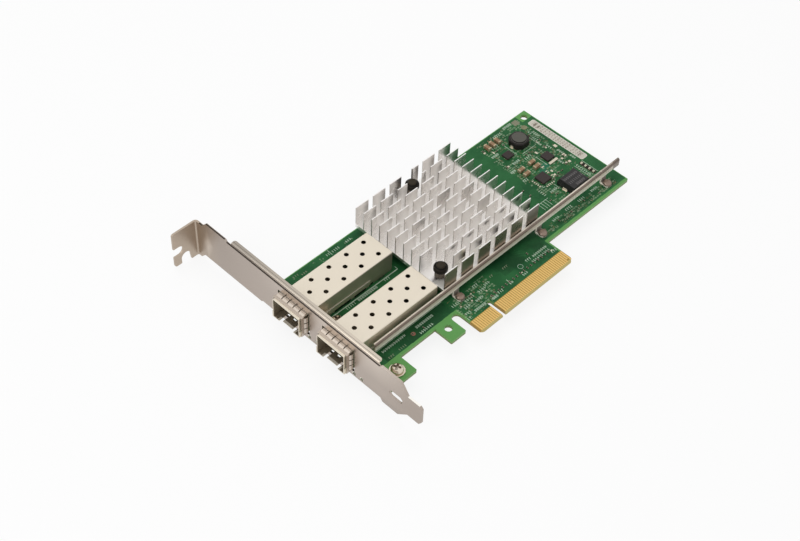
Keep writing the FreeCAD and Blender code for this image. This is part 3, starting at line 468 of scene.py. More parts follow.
frameLook = dict(grey=tone(0.34, 0.305, 0.265), seam=tone(0.11, 0.09, 0.07), seamX=-56.35, seamHalf=0.09)


def dressFrame(paint, place, facing, base):
    # the flange has painted shade that greys it towards the tab, so it is brightest near the foot, and a seam shows
    # where it meets the plate
    x, y, z = place
    greyed = paint.blend(y.ramp(25.0, 80.0) * 0.85, base, frameLook["grey"])
    seam = (facing[2] > 0.7) * ((x - frameLook["seamX"]).size() < frameLook["seamHalf"])
    return paint.blend(seam * 0.75, greyed, frameLook["seam"])


cageLook = dict(
    # several colours here are painted shade: inside the ports, on the flanks and in gaps at their foot
    lip=tone(0.70, 0.64, 0.54), gap=tone(0.012, 0.022, 0.008), ledge=tone(0.50, 0.50, 0.43),
    inside=tone(0.40, 0.34, 0.25), flank=tone(0.66, 0.585, 0.45), flankDeep=tone(0.44, 0.385, 0.30),
    centres=(28.1, 51.45), halfWidth=6.88, trayHalf=7.0, roof=9.6, front=-61.9, gapTop=0.85,
    gaps=[(-44.6, -36.4), (-34.6, -28.6), (-27.0, -24.6)], ledgeAt=(2.7, 3.2), lipEnd=-60.4, lipTop=0.8, lipHalf=4.6)


def dressCage(paint, place, facing, base):
    # painted shade: the flanks are darker than the roof and darkest inwards, away from the bracket, the insides of the
    # ports are darker, and dark gaps lie at their foot; the ledge and lip are pale
    x, y, z = place
    look = cageLook
    near = (y - look["centres"][0]).size().least((y - look["centres"][1]).size())
    # painted shade inside the ports and on the flanks
    inner = (near < look["halfWidth"]) * (z < look["roof"]) * (x > look["front"])
    flank = (facing[1].size() > 0.7) * (z < 9.2)
    sided = paint.blend(x.ramp(-48.0, -18.0), look["flank"], look["flankDeep"])
    walled = paint.blend(inner, paint.blend(flank, base, sided), look["inside"])
    # painted shade in gaps at the foot of the flanks
    first, second, third = [(x > start) * (x < end) for start, end in look["gaps"]]
    footGapShaded = paint.blend((first + second + third) * flank * (z < look["gapTop"]), walled, look["gap"])
    level = facing[2] > 0.7
    ledge = level * (z < look["ledgeAt"][1]) * (z > look["ledgeAt"][0]) * (near > look["trayHalf"])
    lip = (x < look["lipEnd"]) * (z < look["lipTop"]) * level * (near < look["lipHalf"])
    paint.set("Metallic", ledge.most(lip) * -0.6 + 0.72)
    return paint.blend(ledge, paint.blend(lip, footGapShaded, look["lip"]), look["ledge"])


sinkLook = dict(
    low=20.3, left=-11.6, period=9.1, length=6.5, baseTop=5.6, lastColumn=33.0, lastRows=61.0,
    second=(-3.0, 42.0, 22.0, 26.0), third=(-3.0, 42.0, 26.0, 30.0),
    # these colours are painted light: a dark reflection on the front row, shade, a highlight, and shaded end faces
    frontHigh=tone(0.42, 0.345, 0.30), frontLow=tone(0.50, 0.42, 0.33), shade=tone(0.05, 0.045, 0.040),
    shine=tone(0.98, 0.96, 0.90), ends=tone(0.42, 0.395, 0.36))


def dressSink(paint, place, facing, base):
    # painted light: the front row is painted dark as a reflection of the board, the next rows and the last ones have
    # dark painted reflections at their right ends, the left end faces have painted shade, and some low faces have a
    # painted highlight
    x, y, z = place
    look = sinkLook
    forward = facing[1] < -0.7
    # painted reflection of the dark board on the front row, and painted shade on its last column
    front = forward * (y < look["low"] + 0.3) * (z > 5.4)
    dark = paint.blend(z.ramp(9.5, 5.5), look["frontHigh"], look["frontLow"])
    fronted = paint.blend(front, base, dark)
    fronted = paint.blend(front * (x > look["lastColumn"]) * 0.6, fronted, look["shade"])
    # dark painted reflections at the right ends of the next rows and the last ones
    along = ((x - look["left"]) / look["period"]).fraction() * (look["period"] / look["length"])     # along one fin
    spot = (1.0 - ((along - 0.62).size() * 2.4 + (z - 12.6).size() / 1.6)).most(0.0)
    second = within(x, y, look["second"])
    ends = second * 0.95 + (y > look["lastRows"]) * 0.45
    shaded = (ends * along.ramp(0.35, 0.85) * z.ramp(13.9, 11.5)).most(within(x, y, look["third"]) * spot)
    toned = paint.blend(shaded * forward, fronted, look["shade"])
    # painted shade on the fins' left end faces
    toned = paint.blend((facing[0] < -0.7) * (z > look["baseTop"]) * 0.8, toned, look["ends"])
    # a painted highlight low on the second row and on the base beside the push pin
    shining = second * (z < 9.4) * forward
    shining = shining.most((z < look["baseTop"]) * (x < -7.5) * (y < 26.0) * (facing[2] > 0.7))
    paint.set("Metallic", shining * -0.45 + 0.93)
    return paint.blend(shining, toned, look["shine"])


screwLook = dict(places=[(-47.5, 9.0), (-47.5, 39.8)], reach=1.75, top=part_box("frame_screws")[1].z / mm,
                 depth=(0.28, 1.1), deep=tone(0.035, 0.028, 0.020))


def nearest(x, y, places):
    # squared distance from the nearer of two upright axes
    return away(x, y, places[0]).least(away(x, y, places[1]))


def dressScrew(paint, place, facing, base):
    # the cross recess lies in shade
    x, y, z = place
    top, (start, end) = screwLook["top"], screwLook["depth"]
    recess = (nearest(x, y, screwLook["places"]) < screwLook["reach"] ** 2) * (z < top - start) * (z > top - end)
    return paint.blend(recess * 0.56, base, screwLook["deep"])


# these colours are painted light: a highlight on the back edge, shade on the fold, the feet and the far end, and a
# paler lower web
railLook = dict(backEdge=tone(0.70, 0.63, 0.53), fold=tone(0.20, 0.150, 0.120), high=tone(0.56, 0.455, 0.365),
                low=tone(1.0, 0.95, 0.83), far=tone(0.12, 0.092, 0.072), bend=5.45, feetTop=2.95,
                footEdges=(-7.9, 38.9, 78.2), lip=(19.5, 19.42))


def dressRail(paint, place, facing, base):
    # painted light: a painted highlight on the back edge, painted shade on the fold below it, a web painted paler
    # towards its lower edge, and painted shade on the feet and the far end but not on the feet's left edges
    x, y, z = place
    look = railLook
    # painted light: the web grows paler towards its lower edge
    web = paint.blend(z.ramp(5.6, 3.4), look["high"], look["low"])
    # painted shade on the fold
    folded = paint.blend((z > look["bend"]) * (y < look["lip"][0]), web, look["fold"])
    # a painted highlight on the back edge
    edged = paint.blend((z > 6.0) * (y > look["lip"][1]), folded, look["backEdge"])
    # painted shade on the feet, the far end and the far top, leaving each foot's left edge unshaded
    dim = (z < look["feetTop"]).most(x.ramp(84.6, 85.6)).most((z > look["bend"]) * x.ramp(68.0, 76.0).least(0.55))
    first, second, third = [(x - edge).size() for edge in look["footEdges"]]
    leftEdge = first.least(second).least(third) < 0.3
    return paint.blend(dim * 0.8 * (1.0 - leftEdge), edged, look["far"])


inductorLook = dict(centre=(71.9, 57.3), drum=3.35, top=tone(0.098, 0.096, 0.082), side=tone(0.016, 0.013, 0.012))


def ferritePaint():
    # the ground top of the drum is grey, the moulded case round it nearly black
    paint = Paint("ferrite", (0.05, 0.05, 0.045), 0.0, 0.5, Specular_IOR_Level=0.2)
    where = paint.place()
    x, y, z = paint.axes(where)
    ground = (paint.facing()[2] > 0.8) * (away(x, y, inductorLook["centre"]) < inductorLook["drum"] ** 2)
    grit = paint.noise(where, 1.6, 3.0)
    worn = ground * (grit * 0.3 + 0.8).least(1.0)
    paint.set("Base Color", paint.blend(worn, inductorLook["side"], inductorLook["top"]))
    paint.set("Roughness", grit * 0.25 + 0.36)
    paint.bump(grit, 0.12, 0.00006)
    return paint


pinLook = dict(spots=[(-7.3, 26.5), (15.9, 64.0)], buttonReach=1.75, buttonFrom=10.6, slopeFrom=10.9,
               button=tone(0.040, 0.033, 0.023), slope=tone(0.007, 0.006, 0.005), barrel=tone(0.020, 0.017, 0.013))


def nylonPaint():
    # a painted highlight on the button, mottled by grit, and painted shade in deep black on the slope round it
    paint = Paint("blackNylon", (0.02, 0.018, 0.015), 0.0, 0.36, Specular_IOR_Level=0.07)
    where = paint.place()
    x, y, z = paint.axes(where)
    grit = paint.noise(where, 2.2, 2.0)
    # painted shade on the slope of the cap
    base = paint.blend(z > pinLook["slopeFrom"], pinLook["barrel"], pinLook["slope"])
    # a painted highlight on the button
    button = (nearest(x, y, pinLook["spots"]) < pinLook["buttonReach"] ** 2) * (z > pinLook["buttonFrom"])
    paint.set("Base Color", paint.blend(button * (grit * 0.3 + 0.8).least(1.0), base, pinLook["button"]))
    paint.set("Roughness", grit * 0.2 + 0.28)
    paint.bump(grit, 0.06, 0.00005)
    return paint


moduleLook = dict(top=(65.38, 75.02, 22.08, 30.72), rimFrom=2.9, rim=tone(0.11, 0.10, 0.10),
                  dark=tone(0.013, 0.012, 0.012), light=tone(0.024, 0.022, 0.022))


def modulePaint():
    # black moulding, its top edges painted paler as a highlight
    paint = Paint("moduleMoulding", (0.020, 0.018, 0.018), 0.0, 0.36, Specular_IOR_Level=0.32)
    where = paint.place()
    x, y, z = paint.axes(where)
    left, right, low, high = moduleLook["top"]
    # a painted highlight on the top edges
    rim = (x < left).most(y < low).most(y > high).most(x > right) * (z > moduleLook["rimFrom"])
    grit = paint.noise(where, 2.6, 2.0)
    body = paint.blend(grit, moduleLook["dark"], moduleLook["light"])
    paint.set("Base Color", paint.blend(rim * 0.8, body, moduleLook["rim"]))
    paint.set("Roughness", grit * 0.2 + 0.28)
    paint.bump(grit, 0.05, 0.00004)
    return paint


labelLook = dict(
    left=83.3, lane=1.25, tick=1.35, printed=(34.6, 61.0), ruled=(34.4, 61.2), inside=(83.62, 86.8, 33.2, 62.25),
    blocks=[(84.2, 86.0, 59.4, 60.4), (84.2, 86.0, 57.6, 58.3), (84.0, 86.2, 35.6, 36.0)],
    paper=(tone(0.57, 0.54, 0.46), tone(0.64, 0.61, 0.53)), mark=tone(0.26, 0.21, 0.17), border=tone(0.72, 0.70, 0.62),
    dark=tone(0.16, 0.13, 0.10))


def labelPaint():
    # three faint lanes of ticks and a few bars that hold no data, inside a pale border
    paint = Paint("labelPaper", (0.52, 0.49, 0.42), 0.0, 0.62, Specular_IOR_Level=0.2)
    look = labelLook
    where = paint.place()
    x, y, z = paint.axes(where)
    lanes = ((x - look["left"]) / look["lane"]).fraction()
    ticks = ((y + paint.noise(where, 0.9) * 1.6) / look["tick"]).fraction()
    printed = (lanes > 0.22) * (lanes < 0.80) * (ticks > 0.55) * (y > look["printed"][0]) * (y < look["printed"][1])
    printed = printed * (paint.noise(where, 0.5) > 0.40)
    ruled = (lanes < 0.14) * (y > look["ruled"][0]) * (y < look["ruled"][1]) * (x > 84.0) * 0.55
    fibre = paint.noise(where, 3.0)
    marked = paint.blend((printed * 0.75).most(ruled), paint.blend(fibre, *look["paper"]), look["mark"])
    left, right, low, high = look["inside"]
    border = (x < left).most(x > right).most(y < low).most(y > high)
    bordered = paint.blend(border * 0.8, marked, look["border"])
    paint.set("Base Color", paint.blend(withinAny(x, y, look["blocks"]) * 0.8, bordered, look["dark"]))
    paint.set("Roughness", (fibre - 0.5) * 0.2 + 0.6)
    paint.bump(fibre, 0.06, 0.00003)
    return paint


# one paint for each material slot
paints = {
    "solder_mask": boardPaint(),
    "gold": metalPaint("goldPlate", (0.76, 0.50, 0.17), 0.32, 0.05, "y", metal=0.75),
    "bracket_steel": metalPaint("platedSteel", (0.47, 0.405, 0.355), 0.36, 0.08, "none", 0.05, dress=dressBracket),
    "cage_steel": metalPaint("brightTin", (0.775, 0.70, 0.58), 0.34, 0.06, "x", 0.02, metal=0.72, dress=dressCage),
    "collar_steel": metalPaint("springStrip", (0.56, 0.49, 0.42), 0.34, 0.06, "none", 0.05),
    "socket_plastic": plasticPaint("blackMoulding", (0.014, 0.013, 0.012), 0.45),
    "tin": metalPaint("tinEnds", (0.66, 0.60, 0.48), 0.38, 0.1, "none", 0.10),
    "sink_aluminium": metalPaint("clearAluminium", (0.90, 0.875, 0.85), 0.28, 0.04, "x", 0.03,
                                 bump=0.02, metal=0.93, dress=dressSink),
    "pin_nylon": nylonPaint(),
    "spring_steel": metalPaint("springWire", (0.12, 0.10, 0.080), 0.28),
    "chip_body": plasticPaint("chipMoulding", (0.045, 0.036, 0.034), 0.46, gloss=0.15),
    "pad_rubber": plasticPaint("thermalPad", (0.32, 0.34, 0.38), 0.7),
    "rail_steel": metalPaint("railSteel", (0.82, 0.71, 0.595), 0.42, 0.08, "x", 0.06, metal=0.30, dress=dressRail),
    "screw_steel": metalPaint("screwSteel", (0.66, 0.58, 0.47), 0.22, 0.06, "none", 0.10, dress=dressScrew),
    "ferrite": ferritePaint(),
    "capacitor_ceramic": plasticPaint("capacitorCeramic", (0.30, 0.185, 0.105), 0.38),
    "lamp_lens": plasticPaint("lampLens", (0.66, 0.61, 0.47), 0.28),
    "label_paper": labelPaint(),
}
# these nodes look unlike the rest of their slot
ownPaints = {
    "inner_frame": metalPaint("frameSteel", (0.66, 0.585, 0.49), 0.36, 0.08, "none", 0.05, dress=dressFrame),
    "power_module": modulePaint(),
    # the port lamps glow with painted light
    "port_lamps": Paint("lampGlow", (0.80, 0.78, 0.70), 0.0, 0.3,
                        Emission_Color=tone(0.80, 0.77, 0.68), Emission_Strength=0.5),
    "rail_screws": metalPaint("dullScrews", (0.27, 0.20, 0.16), 0.38, 0.06, "none", 0.12, metal=0.8),
    "small_chip_parts": plasticPaint("smallBodies", (0.060, 0.048, 0.036), 0.4),
}
print("materials made:", len(paints) + len(ownPaints))

nodeSlots = {part["node"]: part["material_slot"] for part in frame["record"]["subparts"]}


def paintFor(node):
    return ownPaints[node] if node in ownPaints else paints[nodeSlots[node]]


for nodeName, part in frame["nodes"].items():
    part.data.materials.clear()
    part.data.materials.append(paintFor(nodeName).material)


view = dict(azimuth=-47.196, elevation=48.488, roll=2.52, distance=0.56388, aim=(-0.01277, 0.041888, 0.0), lens=67.14)
turn, rise, lean = [math.radians(view[k]) for k in ("azimuth", "elevation", "roll")]
back = Vector((math.sin(turn) * math.cos(rise), -math.cos(turn) * math.cos(rise), math.sin(rise)))
level = Vector((0, 0, 1)).cross(back).normalized()
upright = back.cross(level)
right = level * math.cos(lean) + upright * math.sin(lean)
top = upright * math.cos(lean) - level * math.sin(lean)
bpy.ops.object.camera_add()
camera = bpy.context.object
camera.name = "camera"
turned = Matrix((right, top, back)).transposed().to_4x4()
camera.matrix_world = Matrix.Translation(Vector(view["aim"]) + back * view["distance"]) @ turned
camera.data.sensor_width = 36
camera.data.lens = view["lens"]
camera.data.clip_start = 0.01
bpy.context.scene.camera = camera
bpy.context.scene.view_settings.view_transform = "Standard"

studio = dict(
    floorGlow=0.86, roomGlow=0.50, floorSide=4.0, floorGap=0.0002, lit=(0.01, 0.04, 0),
    lamps={
        "overhead": dict(place=(0.05, 0.25, 0.75), size=0.7, power=2.2, mirrored=False),
        "window": dict(place=(-0.55, 0.15, 0.45), size=0.5, power=1.0, mirrored=True),
        "fill": dict(place=(-0.25, -0.7, 0.5), size=0.6, power=1.0, mirrored=False)})


def clearRays(paint):
    # rays that should see a plain white room: the camera's, and those in metal and glass
    rays = [paint.add("ShaderNodeLightPath", output=f"Is {ray} Ray") for ray in ("Camera", "Glossy", "Transmission")]
    return rays[0].most(rays[1]).most(rays[2])


bpy.ops.mesh.primitive_plane_add(size=studio["floorSide"], location=(0, 0, cadBox[0].z - studio["floorGap"]))
floor = bpy.context.object
floor.name = "floor"
floorPaint = Paint("paleFloor", (0.9, 0.9, 0.9), 0.0, 0.9)
glow = floorPaint.add("ShaderNodeEmission", None, {"Color": tone(1, 1, 1), "Strength": 1.0})
matt = Wire(floorPaint, floorPaint.shader.outputs[0])
glowShare = clearRays(floorPaint) * studio["floorGlow"]
mixed = floorPaint.add("ShaderNodeMixShader", None, {0: glowShare, 1: matt, 2: glow})
floorPaint.feed(floorPaint.tree.nodes["Material Output"].inputs["Surface"], mixed)
floor.data.materials.append(floorPaint.material)

world = bpy.data.worlds.new("studio")
bpy.context.scene.world = world
world.use_nodes = True
room = Paint.__new__(Paint)             # the world's nodes, with the same methods
room.tree = world.node_tree
background = world.node_tree.nodes["Background"].inputs
room.feed(background["Strength"], clearRays(room) * (1.0 - studio["roomGlow"]) + studio["roomGlow"])
room.feed(background["Color"], (1, 1, 1, 1))

for name, lamp in studio["lamps"].items():
    bpy.ops.object.light_add(type="AREA", location=lamp["place"])
    light = bpy.context.object
    light.name = name
    light.data.size = lamp["size"]
    light.data.energy = lamp["power"]
    light.visible_glossy = lamp["mirrored"]      # metal sees the white room, and only the window lamp as a highlight
    light.rotation_euler = (Vector(studio["lit"]) - Vector(lamp["place"])).to_track_quat("-Z", "Y").to_euler()
print("camera and studio set")


def softened(node, width):
    # the CAD shape again with its edges broken, standing for the node
    words = node.split("_")
    piece = frame["nodes"][node].copy()
    piece.data = piece.data.copy()
    piece.parent = None
    for key in list(piece.keys()):
        del piece[key]
    bpy.context.scene.collection.objects.link(piece)
    piece.name = words[0] + "".join(w.title() for w in words[1:])
    choose(piece)
    openEdit()
    bpy.ops.mesh.remove_doubles(threshold=weldGap)
    bpy.ops.mesh.dissolve_limited(angle_limit=math.radians(0.5))
    closeEdit()
    bevelled(piece, width, smooth=32)
    finish(piece, paintFor(node), 0)
    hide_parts(node)


# how far each edge is broken
sheetEdges = dict(face_bracket=0.00008, inner_frame=0.00006, port_cage_1=0.00006, port_cage_2=0.00006,
                  port_tray_1=0.00005, port_tray_2=0.00005, stiffener_rail=0.00008, heat_sink=0.00006,
                  frame_screw_washers=0.00012, power_inductor=0.00025, power_module=0.00008, regulator_chips=0.00010,
                  shunt_resistor=0.00010, status_lamps=0.00010, board_label=0.00002, inductor_terminals=0.00008,
                  module_terminals=0.00010)
for nodeName, width in sheetEdges.items():
    softened(nodeName, width)

# thin leftovers of fins beside the push pin come off
sinkTrim = dict(baseTop=5.3, spots=[(-11.3, 28.9), (-11.3, 24.8)], size=(2.4, 1.6, 20))
for x, y in sinkTrim["spots"]:
    place = Vector((x, y, sinkTrim["baseTop"] + sinkTrim["size"][2] / 2)) * mm
    cutAway(bpy.data.objects["heatSink"], block(place, Vector(sinkTrim["size"]) * mm))
print("sheet parts softened")


# shares of the head's radius and height, apart from the rail's sheet in metres
screwSizes = dict(recessReach=0.62, recessWidth=0.20, recessDepth=0.55, dome=0.45, crown=0.35, rounding=0.3,
                  shank=0.56, shankRounding=0.2, wider=1.12, railSheet=0.0006)


def panScrews(node, name, plain):
    # plain ones are domes without a recess, a little dull
    solids = solidBoxes(node)
    low, high = solids[0]
    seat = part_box("stiffener_rail")[0].z + screwSizes["railSheet"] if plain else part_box("frame_screw_washers")[1].z
    radius = (high.x - low.x) / 2 * (screwSizes["wider"] if plain else 1.0)
    height = high.z - seat
    head = rod(radius, seat, high.z, 48)
    openTop(head)
    bpy.ops.mesh.inset(thickness=radius * screwSizes["crown"], depth=0)
    closeEdit()
    for vert in head.data.vertices:
        if math.hypot(vert.co.x, vert.co.y) > radius * 0.99 and vert.co.z > seat + height * 0.5:
            vert.co.z = seat + height * screwSizes["dome"]
    bevelled(head, height * screwSizes["rounding"], 4, 20)
    shares = [screwSizes[k] for k in ("recessReach", "recessWidth", "recessDepth")]
    blade = [2 * size * share for size, share in zip((radius, radius, height), shares)]
    for angle in () if plain else (45, 135):
        cutAway(head, block((0, 0, high.z), blade, math.radians(angle)))
    shank = rod(radius * screwSizes["shank"], low.z, seat, 32)
    bevelled(shank, radius * screwSizes["shank"] * screwSizes["shankRounding"], 2, 50)
    whole = joinAll([head, shank], name)
    twins = []
    for index, (a, b) in enumerate(solids):
        middle = (a + b) / 2
        twin = settle(copyTo(whole, middle.x, middle.y))
        openEdit()
        bpy.ops.transform.rotate(value=math.radians(17 + 31 * index), orient_axis="Z",
                                 center_override=(middle.x, middle.y, seat))
        closeEdit()
        twins.append(twin)
    bpy.data.objects.remove(whole)
    screws = joinAll(twins, name)
    finish(screws, paintFor(node), 30)
    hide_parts(node)


panScrews("frame_screws", "boardScrews", False)
panScrews("rail_screws", "footScrews", True)
print("screws made")


# steps of the cap: inset as a share of its radius, then rise
pinSizes = dict(capSteps=[(0.05, 0.0003), (0.36, 0.0006), (0.02, 0.0004), (0.05, 0.0)], capDepth=0.0027, capRim=0.0014,
                capEdge=0.00012, shank=0.0015, barb=(0.0009, 0.00195, 0.0017), barbTop=0.0004, overlap=0.0001)


def pushPins():
    tip, shoulder, barbLength = pinSizes["barb"]
    made = []
    for low, high in solidBoxes("push_pins"):
        centre = ((low.x + high.x) / 2, (low.y + high.y) / 2)
        radius = (high.x - low.x) / 2
        capLow = high.z - pinSizes["capDepth"]
        cap = rod(radius, capLow, capLow + pinSizes["capRim"], 64, centre)
        openTop(cap)
        for inset, up in pinSizes["capSteps"]:
            bpy.ops.mesh.inset(thickness=radius * inset, depth=0)
            bpy.ops.transform.translate(value=(0, 0, up))
        closeEdit()
        bevelled(cap, pinSizes["capEdge"], 2, 25)
        shankLow = low.z + barbLength + pinSizes["barbTop"] + pinSizes["overlap"]
        shank = rod(pinSizes["shank"], shankLow, capLow, 40, centre)
        bpy.ops.mesh.primitive_cone_add(vertices=40, radius1=tip, radius2=shoulder, depth=barbLength,
                                        location=(*centre, low.z + barbLength / 2))
        barb = settle(bpy.context.object)
        openTop(barb)
        bpy.ops.mesh.extrude_region_move(TRANSFORM_OT_translate={"value": (0, 0, pinSizes["barbTop"])})
        closeEdit()
        made.append(joinAll([cap, shank, barb], "pin"))
    pins = joinAll(made, "nylonPins")
    finish(pins, paints["pin_nylon"], 40)
    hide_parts("push_pins")


springSizes = dict(wire=0.00028, turns=6, steps=28)


def pinSprings():
    wireRadius, turns = springSizes["wire"], springSizes["turns"]
    made = []
    for low, high in solidBoxes("push_pin_springs"):
        reach = (high.x - low.x) / 2 - wireRadius
        bpy.ops.mesh.primitive_circle_add(vertices=10, radius=wireRadius, fill_type="NOTHING",
                                          rotation=(math.radians(90), 0, 0), location=(reach, 0, 0))
        wire = settle(bpy.context.object)
        screw = wire.modifiers.new("coil", "SCREW")
        screw.angle = 2 * math.pi * turns
        screw.screw_offset = high.z - low.z - 2 * wireRadius
        screw.steps = screw.render_steps = springSizes["steps"] * turns
        screw.iterations = 1
        screw.use_merge_vertices = False
        applyAll(wire)
        openEdit()
        bpy.ops.mesh.fill_holes(sides=12)
        bpy.ops.mesh.normals_make_consistent(inside=False)
        closeEdit()
        wire.location = ((low.x + high.x) / 2, (low.y + high.y) / 2, low.z + wireRadius)
        made.append(settle(wire))
    springs = joinAll(made, "pinSprings")
    finish(springs, paints["spring_steel"], 60)
    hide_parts("push_pin_springs")


pushPins()
pinSprings()
print("push pins made")


chipSizes = dict(body=0.94, tuck=1.9, bodyEdge=0.00004, endEdge=0.00006)


def chipParts(node, bodyName, endName, endShare, endPaint):
    # each solid becomes a body between two tinned ends, which take this share of its length
    bodies, ends = [], []
    for low, high in solidBoxes(node):
        size, centre = high - low, (low + high) / 2
        axis = 0 if size.x > size.y else 1
        end = size[axis] * endShare
        inner = size * chipSizes["body"]
        inner[axis] = size[axis] - end * chipSizes["tuck"]
        bodies.append(block(centre, inner))
        outer = size.copy()
        outer[axis] = end
        for side in (-1, 1):
            spot = centre.copy()
            spot[axis] += side * (size[axis] - end) / 2
            ends.append(block(spot, outer))
    body, tips = joinAll(bodies, bodyName), joinAll(ends, endName)
    bevelled(body, chipSizes["bodyEdge"], 1)
    finish(body, paintFor(node))
    bevelled(tips, chipSizes["endEdge"], 2)
    finish(tips, endPaint)
    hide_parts(node)


chipParts("ceramic_capacitors", "capacitorBodies", "capacitorEnds", 0.17,
          metalPaint("tanEnds", (0.50, 0.41, 0.27), 0.4, 0.1, "none", 0.10, metal=0.5))
chipParts("small_chip_parts", "smallBodies", "smallEnds", 0.24,
          metalPaint("dullEnds", (0.30, 0.28, 0.20), 0.4, 0.1, "none", 0.15, metal=0.5))
print("chip parts made")


# printed strokes, tinned pads and outlines on the board, all without meaning, in mm
printing = dict(
    thick=0.03, inset=0.06, stroke=0.24, tall=1.15, pitch=1.0, line=0.2, ring=(21.7, 11.6, 1.05, 0.09), flattened=0.25,
    # rows of strokes: start x, start y, how many, along which axis
    rows=[(-45.3, 18.6, 12, "x"), (-28.3, 18.2, 9, "x"), (-29.0, 15.3, 7, "x"), (-40.3, 42.2, 5, "x"),
          (-34.3, 42.2, 10, "x"), (-20.4, 42.4, 3, "x"), (-46.6, 42.2, 1, "x"), (48.9, 18.7, 4, "x"),
          (57.0, 18.9, 4, "x"), (64.4, 18.7, 4, "x"), (72.3, 18.8, 4, "x"), (2.3, 8.0, 3, "x"), (6.0, 8.5, 3, "x"),
          (12.5, 8.6, 2, "x"), (12.8, 10.3, 1, "x"), (19.3, 8.0, 3, "x"), (36.1, 8.1, 3, "x"), (25.4, 11.9, 3, "x"),
          (29.2, 11.8, 8, "x"), (27.0, 10.0, 10, "x"), (-11.5, 15.8, 4, "x"), (-6.0, 14.2, 5, "x"),
          (-10.5, 9.8, 3, "x"), (-6.8, 8.6, 6, "x"), (1.0, 14.0, 4, "x"), (5.0, 14.8, 3, "x"), (1.0, 17.0, 3, "x"),
          (-11.6, 7.6, 2, "x"), (-3.0, 11.6, 4, "x"), (-8.6, 12.0, 3, "x"), (-27.4, 66.6, 2, "x"),
          (-17.2, 66.6, 3, "x"), (-24.4, 66.5, 4, "x"), (67.0, 49.0, 4, "x"), (61.2, 50.5, 4, "x"),
          (56.6, 47.6, 3, "x"), (56.8, 41.0, 3, "x"), (60.2, 29.6, 4, "x"), (73.6, 67.3, 5, "x"),
          (59.6, 65.0, 5, "x"), (61.4, 62.2, 4, "x"), (57.6, 58.8, 4, "x"), (66.6, 66.2, 5, "x"),
          (81.3, 54.6, 4, "y"), (77.8, 50.3, 3, "y"), (78.9, 53.2, 3, "y"), (79.4, 46.2, 3, "y"),
          (80.7, 41.2, 3, "y"), (82.1, 35.6, 3, "y"), (79.4, 25.2, 8, "y"), (76.4, 37.0, 3, "y"),
          (79.8, 57.6, 2, "y"), (57.2, 30.0, 4, "y")],
    dim=[(45.0, 15.6, 4, "x"), (53.0, 15.9, 4, "x"), (60.3, 15.8, 4, "x"), (67.2, 15.7, 4, "x"),
         (75.3, 15.7, 4, "x"), (16.0, 15.4, 3, "x"), (9.4, 16.0, 2, "x"), (-40.8, 66.0, 3, "x"),
         (-44.1, 67.1, 3, "x"), (-40.0, 15.2, 4, "x"), (-45.4, 15.0, 3, "x")],
    onModule=[(66.3, 28.3, 8, "x"), (66.9, 25.8, 8, "x"), (68.6, 23.6, 5, "x")],
    # thin lines: from x, y to x, y
    lines=[(-47.0, 20.3, -12.8, 20.3), (-47.0, 42.9, -12.8, 43.3), (-12.8, 43.3, -12.8, 44.7),
           (-25.6, 65.4, -25.6, 68.4), (51.2, 24.5, 51.2, 28.3), (52.6, 24.5, 52.6, 28.3), (54.0, 24.5, 54.0, 28.3),
           (55.4, 24.5, 55.4, 28.3), (51.2, 28.3, 56.8, 28.3), (78.4, 24.3, 78.4, 32.6), (83.0, 24.3, 83.0, 32.6),
           (64.5, 21.6, 64.5, 24.2), (64.5, 28.2, 64.5, 31.6), (66.4, 53.2, 66.4, 61.2), (68.2, 51.8, 75.6, 51.8),
           (77.6, 53.4, 77.6, 55.6), (70.9, 40.6, 70.9, 46.8), (59.9, 33.2, 61.0, 33.2), (59.9, 33.2, 59.9, 34.2)],
    # tinned pads: x, y, width, depth
    pads=[(59.5, y, 0.9, 0.42) for y in (34.6, 35.6, 36.6, 37.6, 38.6)]
         + [(x, 32.7, 0.42, 0.9) for x in (61.6, 62.6, 63.6, 64.6, 65.6)]
         + [(67.8, y, 0.9, 0.42) for y in (34.6, 35.6, 37.6, 38.6)]
         + [(68.9, 35.0, 0.9, 0.9), (69.6, 37.2, 0.8, 1.2), (68.6, 41.2, 1.4, 0.5), (66.8, 42.2, 1.0, 0.5),
            (78.1, 39.0, 0.9, 0.9), (79.1, 35.9, 1.1, 1.1), (77.5, 36.3, 0.8, 0.8), (78.1, 48.1, 0.7, 1.4),
            (81.7, 45.8, 1.3, 1.6), (80.3, 39.8, 1.3, 1.8), (77.9, 52.4, 0.7, 1.2), (72.9, 48.4, 0.8, 1.4),
            (58.7, 50.9, 0.8, 0.8), (64.2, 29.0, 0.9, 0.5), (57.4, 62.8, 1.2, 0.7), (60.2, 60.4, 0.7, 1.2),
            (36.6, 8.9, 0.9, 0.5), (2.8, 9.4, 0.7, 0.5), (12.9, 9.4, 0.6, 0.8), (19.9, 9.2, 0.6, 0.5),
            (-4.1, 12.8, 0.7, 0.7), (3.4, 12.4, 0.6, 0.6), (-9.2, 13.6, 0.6, 0.6), (-1.9, 15.4, 0.6, 0.6)])


def flatStroke(name):
    # a thin slab one millimetre across with broken edges, lying on the board
    thick = printing["thick"] * mm
    slab = block((0, 0, 0), (mm, mm, thick))
    slab.name = name
    openTop(slab)
    bpy.ops.mesh.inset(thickness=printing["inset"] * mm, depth=0)
    bpy.ops.transform.translate(value=(0, 0, thick * 0.4))
    closeEdit()
    slab.location.z = thick * 0.4
    return slab


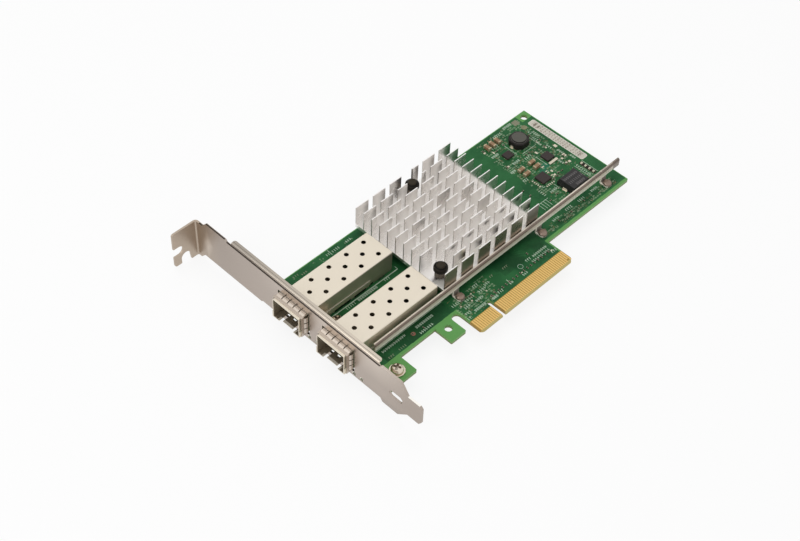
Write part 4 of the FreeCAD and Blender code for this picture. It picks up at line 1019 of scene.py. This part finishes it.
def rowSpots(x, y, count, along, tall):
    # each sign is one or two strokes and sometimes a short dash, in no alphabet
    spots, stroke = [], printing["stroke"]
    for i in range(count):
        shift = i * printing["pitch"]
        kind = (i * 5 + count * 3 + int(abs(x) * 7)) % 5
        marks = [(shift, 0.0, stroke, tall)]
        if kind in (0, 3):
            marks.append((shift + 0.42, 0.0, stroke, tall * (0.6 if kind else 1.0)))
        if kind in (1, 3, 4):
            marks.append((shift + 0.24, tall * (0.42 if kind == 1 else -0.1), 0.5, stroke))
        for a, b, wide, high in marks:
            spots.append((x + a, y + b, wide, high) if along == "x" else (x - b, y + a, high, wide))
    return spots


def signSpots(rows, share=1.0):
    return [spot for x, y, count, along in rows for spot in rowSpots(x, y, count, along, printing["tall"] * share)]


def lineSpots():
    thin = printing["line"]
    return [((x0 + x1) / 2, (y0 + y1) / 2, max(abs(x1 - x0), thin), max(abs(y1 - y0), thin))
            for x0, y0, x1, y1 in printing["lines"]]


def printOn(name, spots, paint, lift=0.0):
    stroke = flatStroke(name)
    stroke.location.z += lift
    finish(copiesAt(stroke, spots), paint, 40)


def printedRing():
    x, y, radius, half = [v * mm for v in printing["ring"]]
    bpy.ops.mesh.primitive_torus_add(major_radius=radius, minor_radius=half, major_segments=40, minor_segments=6,
                                     location=(x, y, 0))
    ring = settle(bpy.context.object)
    openEdit()
    bpy.ops.transform.resize(value=(1, 1, printing["flattened"]), center_override=(x, y, 0))
    closeEdit()
    ring.name = "printedRing"
    finish(ring, plasticPaint("ringInk", (0.40, 0.53, 0.42), 0.6, gloss=0.1), 60)


printOn("printedMarks", signSpots(printing["rows"]) + lineSpots(),
        plasticPaint("markInk", (0.48, 0.60, 0.47), 0.6, gloss=0.1, spread=0.45))
printOn("wornMarks", signSpots(printing["dim"], 0.8),
        plasticPaint("wornInk", (0.24, 0.27, 0.18), 0.6, gloss=0.1))
printOn("moduleMarks", signSpots(printing["onModule"], 1.1),
        plasticPaint("greyInk", (0.17, 0.16, 0.16), 0.6, gloss=0.1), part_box("power_module")[1].z)
printOn("tinnedPads", printing["pads"], paints["tin"])
printedRing()
print("board printing made")
